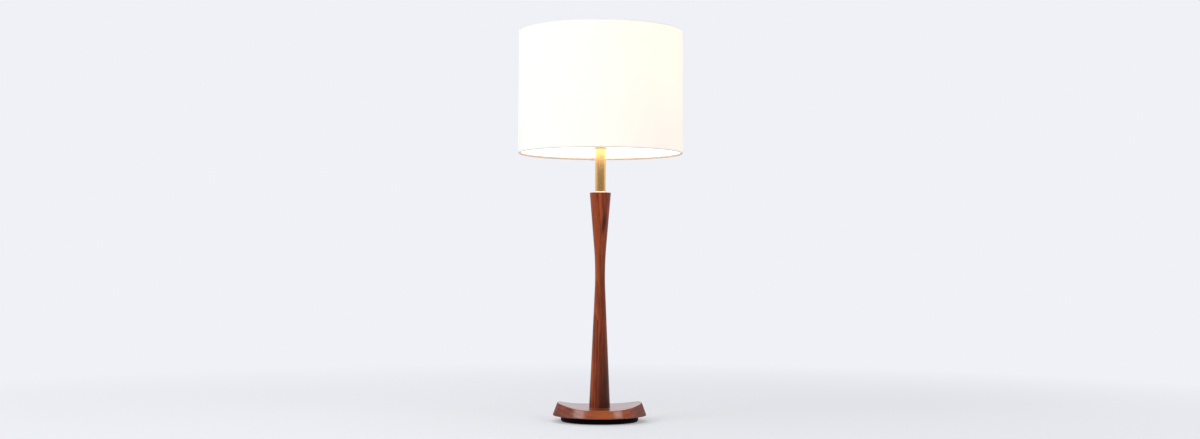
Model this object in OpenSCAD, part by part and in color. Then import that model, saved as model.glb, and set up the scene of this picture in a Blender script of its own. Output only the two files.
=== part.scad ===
// Accent lamp: a turned two-part stem on a saddle-topped base, with a brass neck, a harp and a
// drum shade. Millimetres, +Z up. The origin is on the table, on the stem's axis. The two horns of
// the base point along X, and the cord leaves the base at the back, along +Y.

/* [Base] */
// Thickness of the felt pad
felt_t = 1.5; // [1:0.25:3]
// Distance from the weight plate's edge to the felt's edge
felt_inset = 1.5; // [1:0.5:8]
// Radius of the weight plate
plate_r = 89; // [78:1:95]
// Thickness of the weight plate
plate_t = 12.5; // [9.5:0.5:16]
// Radius of the hole in the middle of the weight plate
plate_hole_r = 25; // [20:1:32]
// Radius of the wooden base at its lower edge
base_r = 107.5; // [100:0.5:120]
// How far the base's side leans in for each millimetre of height
base_lean = 0.34; // [0.15:0.01:0.45]
// Thickness of the wooden base at its horns
horn_t = 29.25; // [27:0.25:40]
// Thickness of the wooden base along the bottom of the saddle
trough_t = 17.5; // [15:0.5:20]
// Radius of the shallow arc along the middle of the saddle
shallow_r = 800; // [600:10:1200]
// Width of that shallow arc
shallow_w = 80; // [60:1:90]
// Radius of the circle that the three plate screws stand on
screw_circle_r = 60; // [45:1:68]
// Length of a plate screw
screw_l = 20.5; // [16:0.5:22]
// Radius of the hole for the cord, through its grommet
cord_hole_r = 2.8; // [2.2:0.1:3]
// Height of that hole above the underside of the wooden base
cord_h = 7; // [6.5:0.25:8]
// Length of the grommet's barrel
grommet_l = 9; // [6:0.5:14]

/* [Stem] */
// Height of the wooden stem, without its foot tenon
stem_h = 495.4; // [460:0.1:540]
// Radius of the stem at its foot
foot_r = 24.2; // [20:0.1:27]
// Radius of the stem at its top
stem_top_r = 24.7; // [20:0.1:28]
// Height on the stem at which its two tapers would meet
meet_h = 321; // [290:0.5:350]
// Radius at which the two tapers would meet
meet_r = 10; // [9:0.1:11]
// Radius of the long curve that rounds the waist
waist_curve_r = 820; // [500:10:1000]
// Height of the glue joint between the two lengths of stem
joint_h = 201.5; // [150:0.5:230]
// Radius of the tenon in the glue joint
tenon_r = 9; // [8:0.1:9.5]
// Length of the tenon in the glue joint
tenon_l = 25; // [15:1:35]
// Radius of the tenon on the stem's foot
foot_tenon_r = 15; // [10:0.5:18]
// Length of the tenon on the stem's foot
foot_tenon_l = 3.5; // [2:0.25:4]
// Outer radius of the threaded lamp rod
rod_r = 4.95; // [4.6:0.05:5.2]
// Radius of the wire way through the lamp rod
rod_bore_r = 3.4; // [2.8:0.1:3.6]

/* [Neck] */
// Radius of the brass bead on top of the stem
bead_r = 13.4; // [12.8:0.1:16]
// Height of the brass bead
bead_h = 2.9; // [2:0.1:5]
// Outer radius of the brass tube
tube_r = 12.3; // [11:0.1:12.7]
// Wall of the brass tube
tube_wall = 1; // [0.8:0.1:2]
// Length of the brass tube
tube_l = 99; // [70:1:140]
// Radius of the cap on top of the tube
cap_r = 15.3; // [14:0.1:17]
// Height of the cap on top of the tube
cap_h = 5.8; // [2.5:0.1:8]

/* [Harp] */
// Height of the harp, from the saddle's underside to the shade's hub
harp_h = 252; // [245:1:280]
// Distance of the widest point of the harp from the axis
harp_half_w = 57; // [53:0.5:64]
// Distance of each harp post from the axis
post_x = 25; // [23:0.5:28]
// Radius of the harp wire
wire_r = 2; // [1.6:0.1:2.2]
// Width of the saddle strap
strap_w = 13; // [11:0.5:16]
// Thickness of the saddle strap
strap_t = 1.6; // [1.2:0.1:2]
// Height of the saddle's shoulders, which the ferrules stand on
shoulder_h = 17; // [14:0.5:22]
// Height of the posts above the shoulders
post_h = 10; // [8:0.5:11]
// Length of a ferrule
ferrule_l = 14; // [12:0.5:16]
// Wall of a ferrule
ferrule_wall = 1.3; // [0.8:0.1:1.6]
// Travel of a ferrule
ferrule_lift = 12; // [11:0.5:13]
// Radius of the stud that the finial screws onto
stud_r = 3.175; // [2.5:0.025:3.175]

/* [Socket] */
// Radius of the socket's brass shell
shell_r = 15.9; // [15.5:0.1:18]
// Wall of the socket's shell and cap
shell_wall = 0.5; // [0.4:0.05:0.6]
// Height of the socket's cap
socket_cap_h = 22; // [20:0.5:26]
// Height of the socket, from the underside of its cap to its mouth
socket_h = 58; // [56:0.5:64]
// Height of the insulating body
body_h = 25.5; // [24:0.5:28]
// Radius of the switch shaft
shaft_r = 1.8; // [1.4:0.1:2.4]
// Distance of the switch knob's end from the axis
knob_reach = 37; // [34:0.5:42]
// Radius of the switch knob
knob_r = 6.5; // [5:0.1:8]

/* [Bulb] */
// Radius of the bulb's globe
bulb_r = 30; // [26:0.5:38]
// Height of the globe's centre above the bulb's tip
bulb_centre_h = 78; // [76:0.5:90]
// Largest radius of the bulb's screw thread
thread_r = 13; // [12.6:0.05:13]
// Pitch of the bulb's screw thread
thread_pitch = 3.63; // [3.4:0.01:3.8]

/* [Shade] */
// Radius of the drum shade
shade_r = 190.5; // [165:0.5:210]
// Height of the drum shade
shade_h = 284; // [240:0.1:300]
// Drop of the shade's hub below its top edge
hub_drop = 14; // [10:0.1:20]
// Thickness of the linen
linen_t = 0.7; // [0.5:0.05:1]
// Thickness of the stiff lining
lining_t = 0.6; // [0.5:0.05:1]
// Radius of the shade's ring wire
ring_r = 1.4; // [1.2:0.1:2]
// Radius of the three spider arms
arm_r = 1.6; // [1.2:0.1:2.2]
// Radius of the hub washer
hub_r = 12.7; // [10:0.1:16]
// Thickness of the hub washer
hub_t = 1.6; // [1.2:0.1:2.5]
// Height of the finial
finial_h = 27; // [24:0.5:34]

/* [Hidden] */
$fn = 96;

// Clearances
slip = 0.1;        // between pieces that slide or turn on each other, on the radius
fit = 0.05;        // between pieces that are pushed or glued together, on the radius
drill = 0.45;      // between the lamp rod and the holes that it passes through
lay = 0.15;        // between flat faces of pieces that move on each other
over = 1;          // how far a cutter runs past what it cuts

// Heights in the base, from the table up
plate_z = felt_t;
wood_z = plate_z + plate_t;
trough_z = wood_z + trough_t;
seat_d = 0.8;                      // depth that the stem's foot is let into the saddle
stem_z = trough_z - seat_d;
pocket_d = 8.5;                    // depth of the nut's pocket in the wood
pocket_r = 15.5;
pocket_z = wood_z + pocket_d;
washer_r = 14;
washer_t = 1.5;
lock_r = 8;
lock_t = 1;
nut_across = 14.3;
nut_t = 4.5;
rod_tail = 3;                      // rod left standing out of the nut
washer_z = pocket_z - washer_t;
lock_z = washer_z - lock_t;
nut_z = lock_z - nut_t;
rod_z = nut_z - rod_tail;

// Edges and fasteners of the base
plate_edge = 1;                    // chamfer on the weight plate
wood_edge = 1.5;                   // rounding of the wooden base's lower edge
screw_r = 2;
screw_head_r = 4;
screw_head_h = 2.4;
screw_angles = [30, 150, 270];
grommet_wall = 0.9;
grommet_flange_r = cord_hole_r + grommet_wall + 0.7;
grommet_flange_t = 1.2;
grommet_z = wood_z + cord_h;
grommet_y = base_r - base_lean * (cord_h + grommet_flange_r) - 0.3;    // its flat spot face

// Saddle: a shallow arc in the middle, and on each side a tighter one that meets the horn's edge
horn_flat = 2;                     // level strip left on top of each horn
shallow_angle = asin(shallow_w / 2 / shallow_r);
shallow_rise = shallow_r * (1 - cos(shallow_angle));
horn_run = base_r - base_lean * horn_t - horn_flat - shallow_w / 2;
horn_rise = horn_t - trough_t - shallow_rise;
horn_curve_r = (pow(horn_run, 2) + pow(horn_rise, 2))
    / 2 / (horn_rise * cos(shallow_angle) - horn_run * sin(shallow_angle));

// Stem: two straight tapers and the arc that is tangent to both
lower_taper = atan((foot_r - meet_r) / meet_h);
upper_taper = atan((stem_top_r - meet_r) / (stem_h - meet_h));
tangent_l = waist_curve_r * tan((lower_taper + upper_taper) / 2);
waist_low_h = meet_h - tangent_l * cos(lower_taper);
waist_high_h = meet_h + tangent_l * cos(upper_taper);
waist_centre_h = waist_low_h + waist_curve_r * sin(lower_taper);
waist_centre_r = meet_r + tangent_l * sin(lower_taper) + waist_curve_r * cos(lower_taper);
waist_steps = 24;
top_edge = 0.6;                    // chamfer on the stem's top edge
rod_hole_r = rod_r + drill;

// Neck, from the stem's top up
stem_top_z = stem_z + stem_h;
bead_land = 0.5;                   // upright strip under the bead's bevel
tube_z = stem_top_z + bead_h;
cap_z = tube_z + tube_l;
spigot_h = 2;                      // step of the bead and of the cap inside the tube
spigot_r = tube_r - tube_wall - slip;
saddle_z = cap_z + cap_h;

// Harp, from the saddle up
strap_bend_r = 3;                  // inner radius of the strap's bends
ear_w = 7;                         // width of the strap at its shoulders
shoulder_z = saddle_z + shoulder_h;
harp_foot_z = shoulder_z + post_h;
straight_top_z = shoulder_z + ferrule_l + ferrule_lift + over;
ferrule_r = wire_r + slip + ferrule_wall;
hub_z = saddle_z + harp_h;
stud_flange_r = 7;
stud_flange_t = 2.5;
stud_h = 10;                       // stud above the hub washer's underside
eye_r = 8.5;
eye_t = 2.9;
eye_z = hub_z - stud_flange_t - lay - eye_t;
rivet_r = 5;
rivet_t = 2;
wire_top_z = eye_z + eye_t / 2;
splay = 26;                        // outward slant of the harp's legs
lean = 7;                          // inward slant of the harp's upper lengths
foot_bend_r = 16;
side_bend_r = 70;
top_bend_r = 34;
wire_sides = 12;

// Lengths of the harp's two straight stretches, so that it reaches its width and its height
leg_l = (harp_half_w - post_x - (foot_bend_r + side_bend_r) * (1 - cos(splay))) / sin(splay);
widest_z = straight_top_z + (foot_bend_r + side_bend_r) * sin(splay) + leg_l * cos(splay);
side_l = (wire_top_z - widest_z - side_bend_r * sin(lean) - top_bend_r * (1 - sin(lean)))
    / cos(lean);

// Socket, from the top of the saddle strap up
socket_z = saddle_z + strap_t;
collar_r = 7;                      // threaded collar under the socket's cap
collar_h = 7;
skirt_r = shell_r + fit + shell_wall;
dome_r = skirt_r - collar_r;
skirt_lap = 5;                     // depth that the shell goes into the cap
shell_z = socket_z + socket_cap_h - skirt_lap;
mouth_z = socket_z + socket_h;
lip_r = 0.8;                       // rolled lip at the shell's mouth
liner_wall = 0.45;
liner_r = shell_r - shell_wall - slip;
body_r = liner_r - liner_wall - 0.6;
dome_z = socket_z + collar_h + dome_r;         // centre of the cap's rounded shoulder
body_z = dome_z + fit - sqrt(pow(dome_r - shell_wall, 2) - pow(body_r - collar_r, 2));
body_top_z = body_z + body_h;
terminal_flat = 1.5;               // depth of the flat under each terminal screw
shaft_z = socket_z + socket_cap_h + 6;
notch_half_w = shaft_r + 1.5;
shaft_root = 6;                    // distance of the shaft's inner end from the axis
knob_l = 10;
knob_flat = 0.72;                  // half width across the knob's flats, as a share of its radius
cap_screw_r = 1.5;
cap_screw_z = socket_z + collar_h / 2;
terminal_r = 2.6;
terminal_shank_r = 1.2;
terminal_shank_l = 3;
terminal_z = shell_z + over + terminal_r;
contact_h = 2;                     // height of the centre contact's leaf above the body

// Bulb, from its tip up
bulb_z = body_top_z + contact_h;
thread_depth = 0.8;
thread_low_h = 4;
thread_turns = 4;
thread_high_h = thread_low_h + thread_turns * thread_pitch;
thread_steps = 10;                 // points on the outline for each turn of the thread
thread_gap = 0.25;                 // between the bulb's thread and the screw shell
screw_shell_wall = 0.4;
bulb_skirt_h = 27;                 // height of the bulb cap's upper edge
bulb_wall = 0.8;
neck_r = thread_r + 0.6;
neck_curve_r = 30;
neck_curve_h = bulb_centre_h
    - sqrt(pow(bulb_r + neck_curve_r, 2) - pow(neck_r + neck_curve_r, 2));
neck_angle = atan2(bulb_centre_h - neck_curve_h, neck_r + neck_curve_r);

// Shade, from the hub up and down
shade_top_z = hub_z + hub_drop;
shade_z = shade_top_z - shade_h;
roll_r = linen_t + lining_t + ring_r + fit;     // outer radius of the linen rolled round a ring
roll_angle = 235;                               // how far the linen goes round the ring
ring_path_r = shade_r - roll_r;
ring_low_z = shade_z + roll_r;
ring_high_z = shade_top_z - roll_r;
hub_hole_r = stud_r + 0.4;
arm_angles = [90, 210, 330];
arm_rise = atan((ring_high_z - hub_z - hub_t / 2) / (ring_path_r - hub_r));
arm_lap = 2;                                    // how far an arm laps over the hub washer
finial_z = hub_z + hub_t + lay;

// Points on an arc about c, as [radius from the lamp's axis, height]
function arc(c, r, from, to, n) =
    [for (i = [0:n]) c + r * [cos(from + (to - from) * i / n), sin(from + (to - from) * i / n)]];

// Radius of the stem's outline at height h above its foot
function stem_r(h) =
    h <= waist_low_h ? foot_r - h * tan(lower_taper) :
    h >= waist_high_h ? stem_top_r - (stem_h - h) * tan(upper_taper) :
    waist_centre_r - sqrt(pow(waist_curve_r, 2) - pow(h - waist_centre_h, 2));

// Heights at which the stem's outline has a point, between two heights
function stem_heights(low, high) = concat(
    [low],
    [for (i = [0:waist_steps])
        let (h = waist_low_h + (waist_high_h - waist_low_h) * i / waist_steps)
        if (h > low && h < high) h],
    [high]);

// Radius of the bulb's thread at height h above its tip
function bulb_thread_r(h) =
    thread_r - thread_depth * (1 - cos(360 * (h - thread_low_h) / thread_pitch)) / 2;

function thread_outline(gap, low_z) = [
    for (i = [0:thread_turns * thread_steps])
        let (h = thread_low_h + i * thread_pitch / thread_steps)
        [bulb_thread_r(h) + gap, low_z + h]];

function reversed(list) = [for (i = [len(list) - 1:-1:0]) list[i]];

module ring_of(inner, outer, z, h) {
    translate([0, 0, z])
        difference() {
            cylinder(r = outer, h = h);
            translate([0, 0, -over]) cylinder(r = inner, h = h + 2 * over);
        }
}

module around(angles) {
    for (a = angles) rotate([0, 0, a]) children();
}

// Base

module felt_pad() {
    color("dimgray") cylinder(r = plate_r - felt_inset, h = felt_t);
}

module screw_hole(r, h) {
    translate([screw_circle_r, 0, plate_z - over]) cylinder(r = r, h = h + over);
}

module weight_plate() {
    color([0.06, 0.06, 0.06])
        difference() {
            rotate_extrude()
                polygon([
                    [plate_hole_r, plate_z],
                    [plate_r - plate_edge, plate_z],
                    [plate_r, plate_z + plate_edge],
                    [plate_r, wood_z - plate_edge],
                    [plate_r - plate_edge, wood_z],
                    [plate_hole_r, wood_z]]);
            around(screw_angles) {
                screw_hole(screw_r + fit, plate_t + 2 * over);
                translate([screw_circle_r, 0, plate_z])
                    cylinder(r1 = screw_head_r + fit, r2 = screw_r + fit, h = screw_head_h);
            }
        }
}

module plate_screws() {
    tip_h = 3;
    color("silver")
        around(screw_angles)
            translate([screw_circle_r, 0, plate_z]) {
                cylinder(r1 = screw_head_r, r2 = screw_r, h = screw_head_h);
                cylinder(r = screw_r, h = screw_l - tip_h);
                translate([0, 0, screw_l - tip_h]) cylinder(r1 = screw_r, r2 = 0.4, h = tip_h);
            }
}

module cord_grommet() {
    color([0.05, 0.05, 0.05])
        translate([0, grommet_y, grommet_z])
            rotate([-90, 0, 0])
                difference() {
                    union() {
                        translate([0, 0, -grommet_l])
                            cylinder(r = cord_hole_r + grommet_wall, h = grommet_l + fit);
                        cylinder(r = grommet_flange_r, h = grommet_flange_t);
                    }
                    translate([0, 0, -grommet_l - over])
                        cylinder(r = cord_hole_r, h = grommet_l + grommet_flange_t + 2 * over);
                }
}

// What is hollowed out of the base's top, seen along Y: the middle arc and one up to each horn
module saddle_outline() {
    tangent = [shallow_w / 2, shallow_rise];
    horn_centre = tangent + horn_curve_r * [-sin(shallow_angle), cos(shallow_angle)];
    run_on = 2;                    // angle by which the arcs go on past the horns
    horn_angle = acos(cos(shallow_angle) - horn_rise / horn_curve_r) + run_on;
    half = concat(
        arc([0, shallow_r], shallow_r, -90, shallow_angle - 90, 4),
        arc(horn_centre, horn_curve_r, shallow_angle - 90, horn_angle - 90, 14));
    polygon(concat(
        [for (i = [len(half) - 1:-1:1]) [-half[i].x, half[i].y]],
        half,
        [[half[len(half) - 1].x, horn_t], [-half[len(half) - 1].x, horn_t]]));
}

// A leaning disc whose top is hollowed along Y, so that two horns are left
module wood_base() {
    lean_angle = atan(base_lean);
    color("sienna")
        difference() {
            rotate_extrude()
                polygon(concat(
                    [[0, wood_z]],
                    arc([base_r - wood_edge, wood_z + wood_edge], wood_edge, -90, lean_angle, 6),
                    [[base_r - base_lean * horn_t, wood_z + horn_t], [0, wood_z + horn_t]]));
            translate([0, 0, trough_z])
                rotate([90, 0, 0])
                    linear_extrude(height = 2 * (base_r + over), center = true)
                        saddle_outline();
            translate([0, 0, stem_z]) cylinder(r = foot_r + fit, h = horn_t);
            translate([0, 0, stem_z - foot_tenon_l - slip])
                cylinder(r = foot_tenon_r + fit, h = horn_t);
            translate([0, 0, wood_z - over]) {
                cylinder(r = rod_hole_r, h = horn_t);
                cylinder(r = pocket_r, h = pocket_d + over);
            }
            around(screw_angles) screw_hole(screw_r + fit, screw_l + over + fit);
            translate([0, 0, grommet_z])
                rotate([-90, 0, 0]) {
                    translate([0, 0, pocket_r - over])
                        cylinder(r = cord_hole_r + grommet_wall + fit, h = base_r);
                    translate([0, 0, grommet_y])
                        cylinder(r = grommet_flange_r + fit, h = base_r);
                }
        }
}

module rod_washer() {
    color("silver") ring_of(rod_hole_r, washer_r, washer_z, washer_t);
}

// A ring with teeth cut into its outer edge
module rod_lock_washer() {
    teeth = 10;
    color("silver")
        difference() {
            ring_of(rod_r + fit, lock_r, lock_z, lock_t);
            around([for (i = [0:teeth - 1]) i * 360 / teeth])
                translate([lock_r, 0, lock_z - over])
                    cylinder(r = 0.9, h = lock_t + 2 * over);
        }
}

module rod_nut() {
    color("silver")
        difference() {
            translate([0, 0, nut_z]) cylinder(r = nut_across / sqrt(3), h = nut_t, $fn = 6);
            translate([0, 0, nut_z - over]) cylinder(r = rod_r + fit, h = nut_t + 2 * over);
        }
}

// Stem

module lamp_rod() {
    color("gray") ring_of(rod_bore_r, rod_r, rod_z, socket_z + collar_h - over - rod_z);
}

module lower_stem() {
    color("sienna")
        translate([0, 0, stem_z])
            rotate_extrude()
                polygon(concat(
                    [[rod_hole_r, -foot_tenon_l], [foot_tenon_r, -foot_tenon_l], [foot_tenon_r, 0]],
                    [for (h = stem_heights(0, joint_h)) [stem_r(h), h]],
                    [[tenon_r, joint_h], [tenon_r, joint_h + tenon_l],
                     [rod_hole_r, joint_h + tenon_l]]));
}

module upper_stem() {
    socket_top = joint_h + tenon_l + slip;
    color("sienna")
        translate([0, 0, stem_z])
            rotate_extrude()
                polygon(concat(
                    [[tenon_r + fit, joint_h]],
                    [for (h = stem_heights(joint_h, stem_h - top_edge)) [stem_r(h), h]],
                    [[stem_top_r - top_edge, stem_h], [rod_hole_r, stem_h],
                     [rod_hole_r, socket_top], [tenon_r + fit, socket_top]]));
}

// Neck

module stem_bead() {
    color("goldenrod")
        rotate_extrude()
            polygon([
                [rod_hole_r, stem_top_z],
                [bead_r, stem_top_z],
                [bead_r, stem_top_z + bead_land],
                [tube_r + fit, tube_z],
                [spigot_r, tube_z],
                [spigot_r, tube_z + spigot_h],
                [rod_hole_r, tube_z + spigot_h]]);
}

module brass_tube() {
    color("goldenrod") ring_of(tube_r - tube_wall, tube_r, tube_z, tube_l);
}

module tube_cap() {
    edge = cap_h / 3;
    color("goldenrod")
        rotate_extrude()
            polygon(concat(
                [[rod_hole_r, cap_z - spigot_h], [spigot_r, cap_z - spigot_h], [spigot_r, cap_z]],
                arc([cap_r - edge, cap_z + edge], edge, -90, 0, 6),
                arc([cap_r - edge, cap_z + cap_h - edge], edge, 0, 90, 6),
                [[rod_hole_r, saddle_z]]));
}

// Harp

// The strap from the side: a flat, two bends and two upright ears
module strap_outline() {
    bend_outer_r = strap_bend_r + strap_t;
    bend_x = post_x + strap_t / 2 - bend_outer_r;
    translate([-bend_x, 0]) square([2 * bend_x, strap_t]);
    for (side = [-1, 1]) {
        intersection() {
            translate([side * bend_x, bend_outer_r])
                difference() {
                    circle(r = bend_outer_r);
                    circle(r = strap_bend_r);
                }
            translate([side > 0 ? bend_x : -bend_x - bend_outer_r, 0])
                square(bend_outer_r);
        }
        translate([side * post_x - strap_t / 2, bend_outer_r])
            square([strap_t, shoulder_h - bend_outer_r]);
    }
}

// The strap from its end: full width below, drawn in to the ears
module strap_width() {
    polygon([
        [-strap_w / 2, 0], [strap_w / 2, 0], [strap_w / 2, shoulder_h / 3],
        [ear_w / 2, shoulder_h], [-ear_w / 2, shoulder_h], [-strap_w / 2, shoulder_h / 3]]);
}

module harp_saddle() {
    post_root = 6;
    color("darkgoldenrod")
        difference() {
            union() {
                translate([0, 0, saddle_z])
                    intersection() {
                        rotate([90, 0, 0])
                            linear_extrude(height = strap_w, center = true) strap_outline();
                        rotate([90, 0, 90])
                            linear_extrude(height = 2 * post_x + 2 * strap_t, center = true)
                                strap_width();
                    }
                for (side = [-1, 1])
                    translate([side * post_x, 0, shoulder_z - post_root])
                        cylinder(r = wire_r, h = post_root + post_h);
            }
            translate([0, 0, saddle_z - over])
                cylinder(r = rod_hole_r, h = strap_t + 2 * over);
        }
}

// Points of a bend in the XZ plane about c, each with the way that the wire heads there, which is
// its angle from +Z towards +X
function wire_bend(c, from, to, r, heading_from, heading_to, n) =
    [for (i = [0:n])
        let (a = from + (to - from) * i / n)
        [c.x + r * cos(a), c.y + r * sin(a),
         heading_from + (heading_to - heading_from) * i / n]];

// The points of the wire's section at p = [x, z, heading]
function wire_ring(p) =
    [for (i = [0:wire_sides - 1])
        let (a = 360 * i / wire_sides)
        [p[0] + wire_r * cos(a) * cos(p[2]), wire_r * sin(a), p[1] - wire_r * cos(a) * sin(p[2])]];

// One side of the harp: up from the post, out along the leg, round the bulb and in to the eye
module harp_side() {
    foot_centre = [post_x + foot_bend_r, straight_top_z];
    leg_start = foot_centre + foot_bend_r * [-cos(splay), sin(splay)];
    side_centre = [harp_half_w - side_bend_r, widest_z];
    side_start = side_centre + side_bend_r * [cos(lean), sin(lean)];
    top_centre = side_start + side_l * [-sin(lean), cos(lean)] - top_bend_r * [cos(lean), sin(lean)];
    path = concat(
        [[post_x, harp_foot_z, 0]],
        wire_bend(foot_centre, 180, 180 - splay, foot_bend_r, 0, splay, 3),
        wire_bend(side_centre, -splay, lean, side_bend_r, splay, -lean, 6),
        wire_bend(top_centre, lean, 90, top_bend_r, -lean, -90, 9),
        [[eye_r - over, wire_top_z, -90]]);
    last = (len(path) - 1) * wire_sides;
    polyhedron(
        points = [for (p = path) each wire_ring(p)],
        faces = concat(
            [[for (j = [0:wire_sides - 1]) j]],
            [[for (j = [wire_sides - 1:-1:0]) last + j]],
            [for (i = [0:len(path) - 2], j = [0:wire_sides - 1])
                let (a = i * wire_sides + j, b = i * wire_sides + (j + 1) % wire_sides)
                each [[a, a + wire_sides, b + wire_sides], [a, b + wire_sides, b]]]));
}

module harp_wire() {
    color("darkgoldenrod")
        difference() {
            union() {
                harp_side();
                mirror([1, 0, 0]) harp_side();
                translate([0, 0, eye_z]) cylinder(r = eye_r, h = eye_t);
            }
            translate([0, 0, eye_z - over]) cylinder(r = stud_r + slip, h = eye_t + 2 * over);
        }
}

module ferrule(side) {
    lip_h = 2;
    lip = 0.5;
    color("darkgoldenrod")
        translate([side * post_x, 0, shoulder_z + lay])
            difference() {
                union() {
                    cylinder(r = ferrule_r, h = ferrule_l);
                    cylinder(r = ferrule_r + lip, h = lip_h);
                }
                translate([0, 0, -over]) cylinder(r = wire_r + slip, h = ferrule_l + 2 * over);
            }
}

// The stud turns in the harp's eye, between its flange and its riveted end
module harp_stud() {
    color("goldenrod") {
        translate([0, 0, hub_z - stud_flange_t]) cylinder(r = stud_flange_r, h = stud_flange_t);
        translate([0, 0, eye_z - lay]) cylinder(r = stud_r, h = hub_z + stud_h - eye_z + lay);
        translate([0, 0, eye_z - lay - rivet_t]) cylinder(r = rivet_r, h = rivet_t);
    }
}

// Socket

module socket_cap() {
    dome_centre = [collar_r, socket_z + collar_h + dome_r];
    color("goldenrod")
        difference() {
            rotate_extrude()
                polygon(concat(
                    [[rod_r + fit, socket_z], [collar_r, socket_z]],
                    arc(dome_centre, dome_r, -90, 0, 12),
                    [[skirt_r, socket_z + socket_cap_h],
                     [skirt_r - shell_wall, socket_z + socket_cap_h]],
                    arc(dome_centre, dome_r - shell_wall, 0, -90, 12),
                    [[rod_r + fit, socket_z + collar_h + shell_wall]]));
            translate([0, 0, cap_screw_z])
                rotate([90, 0, 0]) cylinder(r = cap_screw_r + fit, h = collar_r + over);
        }
}

module cap_screw() {
    head = 0.8;
    color("silver")
        translate([0, 0, cap_screw_z])
            rotate([90, 0, 0])
                difference() {
                    translate([0, 0, rod_r + slip])
                        cylinder(r = cap_screw_r, h = collar_r + head - rod_r - slip);
                    translate([-cap_screw_r, -0.25, collar_r + head / 2])
                        cube([2 * cap_screw_r, 0.5, head]);
                }
}

// Room for the switch shaft in the front of the shell and of its liner
module shaft_notch() {
    translate([-notch_half_w, -shell_r - over, shell_z - over])
        cube([2 * notch_half_w, shell_r + over, shaft_z - shell_z + over]);
    translate([0, 0, shaft_z])
        rotate([90, 0, 0]) cylinder(r = notch_half_w, h = shell_r + over);
}

module socket_shell() {
    bead_z = socket_z + socket_cap_h + 14;
    color("goldenrod")
        difference() {
            rotate_extrude() {
                translate([shell_r - shell_wall, shell_z])
                    square([shell_wall, mouth_z - lip_r - shell_z]);
                translate([shell_r - shell_wall / 2, mouth_z - lip_r]) circle(r = lip_r);
                intersection() {
                    translate([shell_r - shell_wall / 2, bead_z]) circle(r = lip_r);
                    translate([shell_r - shell_wall, bead_z - lip_r]) square(2 * lip_r);
                }
            }
            shaft_notch();
        }
}

module socket_liner() {
    color("tan")
        difference() {
            ring_of(liner_r - liner_wall, liner_r, shell_z + over,
                mouth_z - 2 * lip_r - over - shell_z);
            shaft_notch();
        }
}

module socket_body() {
    flat_x = body_r - terminal_flat;
    color([0.1, 0.09, 0.08])
        difference() {
            translate([0, 0, body_z]) cylinder(r = body_r, h = body_h);
            translate([0, 0, shaft_z])
                rotate([90, 0, 0])
                    translate([0, 0, shaft_root - slip])
                        cylinder(r = shaft_r + slip, h = body_r);
            for (side = [0, 1])
                mirror([side, 0, 0]) {
                    translate([flat_x, -body_r, terminal_z - terminal_r - over])
                        cube([body_r, 2 * body_r, 2 * (terminal_r + over)]);
                    translate([flat_x - terminal_shank_l, 0, terminal_z])
                        rotate([0, 90, 0])
                            cylinder(r = terminal_shank_r + fit, h = body_r);
                }
        }
}

module screw_shell() {
    inner = thread_outline(thread_gap, bulb_z);
    outer = thread_outline(thread_gap + screw_shell_wall, bulb_z);
    color("goldenrod")
        rotate_extrude()
            polygon(concat(
                [[thread_r - 4, body_top_z], [inner[0].x + screw_shell_wall, body_top_z]],
                outer,
                reversed(inner),
                [[inner[0].x, body_top_z + screw_shell_wall],
                 [thread_r - 4, body_top_z + screw_shell_wall]]));
}

// A folded leaf under the bulb's tip, with its foot on the insulating body
module centre_contact() {
    leaf_w = 6;
    leaf_t = 0.5;
    leaf_l = 12;
    color("gold")
        translate([0, 0, body_top_z])
            rotate([90, 0, 0])
                linear_extrude(height = leaf_w, center = true)
                    polygon([
                        [-leaf_l / 2, 0], [leaf_l / 2, 0], [leaf_l / 2, leaf_t],
                        [-leaf_l / 2 + 2, leaf_t],
                        [1, contact_h - leaf_t - lay], [2.5, contact_h - leaf_t - lay],
                        [2.5, contact_h - lay], [0.8, contact_h - lay],
                        [-leaf_l / 2, leaf_t]]);
}

// Binding screws for the two wires, one on each side of the body
module terminal_screws() {
    head_h = 1.2;
    slot_w = 0.6;
    color("gold")
        for (side = [-1, 1])
            translate([side * (body_r - terminal_flat + fit), 0, terminal_z])
                rotate([0, side * 90, 0])
                    difference() {
                        union() {
                            cylinder(r = terminal_r, h = head_h);
                            translate([0, 0, -terminal_shank_l])
                                cylinder(r = terminal_shank_r, h = terminal_shank_l);
                        }
                        translate([-terminal_r, -slot_w / 2, head_h * 2 / 3])
                            cube([2 * terminal_r, slot_w, head_h]);
                    }
}

module switch_shaft() {
    color("goldenrod")
        translate([0, 0, shaft_z])
            rotate([90, 0, 0])
                translate([0, 0, shaft_root])
                    cylinder(r = shaft_r, h = knob_reach - knob_l / 2 - shaft_root);
}

// A turn knob: a round boss, and a grip that is flat on both sides
module switch_knob() {
    boss_l = 3;
    edge = 1.2;
    color([0.08, 0.06, 0.05])
        translate([0, 0, shaft_z])
            rotate([90, 0, 0])
                difference() {
                    union() {
                        intersection() {
                            rotate_extrude()
                                translate([0, knob_reach - knob_l])
                                    polygon(concat(
                                        [[0, 0]],
                                        arc([knob_r - edge, edge], edge, -90, 0, 6),
                                        arc([knob_r - edge, knob_l - edge], edge, 0, 90, 6),
                                        [[0, knob_l]]));
                            translate([-knob_r, -knob_r * knob_flat, knob_reach - knob_l])
                                cube([2 * knob_r, 2 * knob_r * knob_flat, knob_l]);
                        }
                        translate([0, 0, knob_reach - knob_l])
                            cylinder(r = knob_r * knob_flat, h = boss_l);
                    }
                    translate([0, 0, knob_reach - knob_l - over])
                        cylinder(r = shaft_r + fit, h = knob_l / 2 + over + slip);
                }
}

// Bulb

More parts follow.
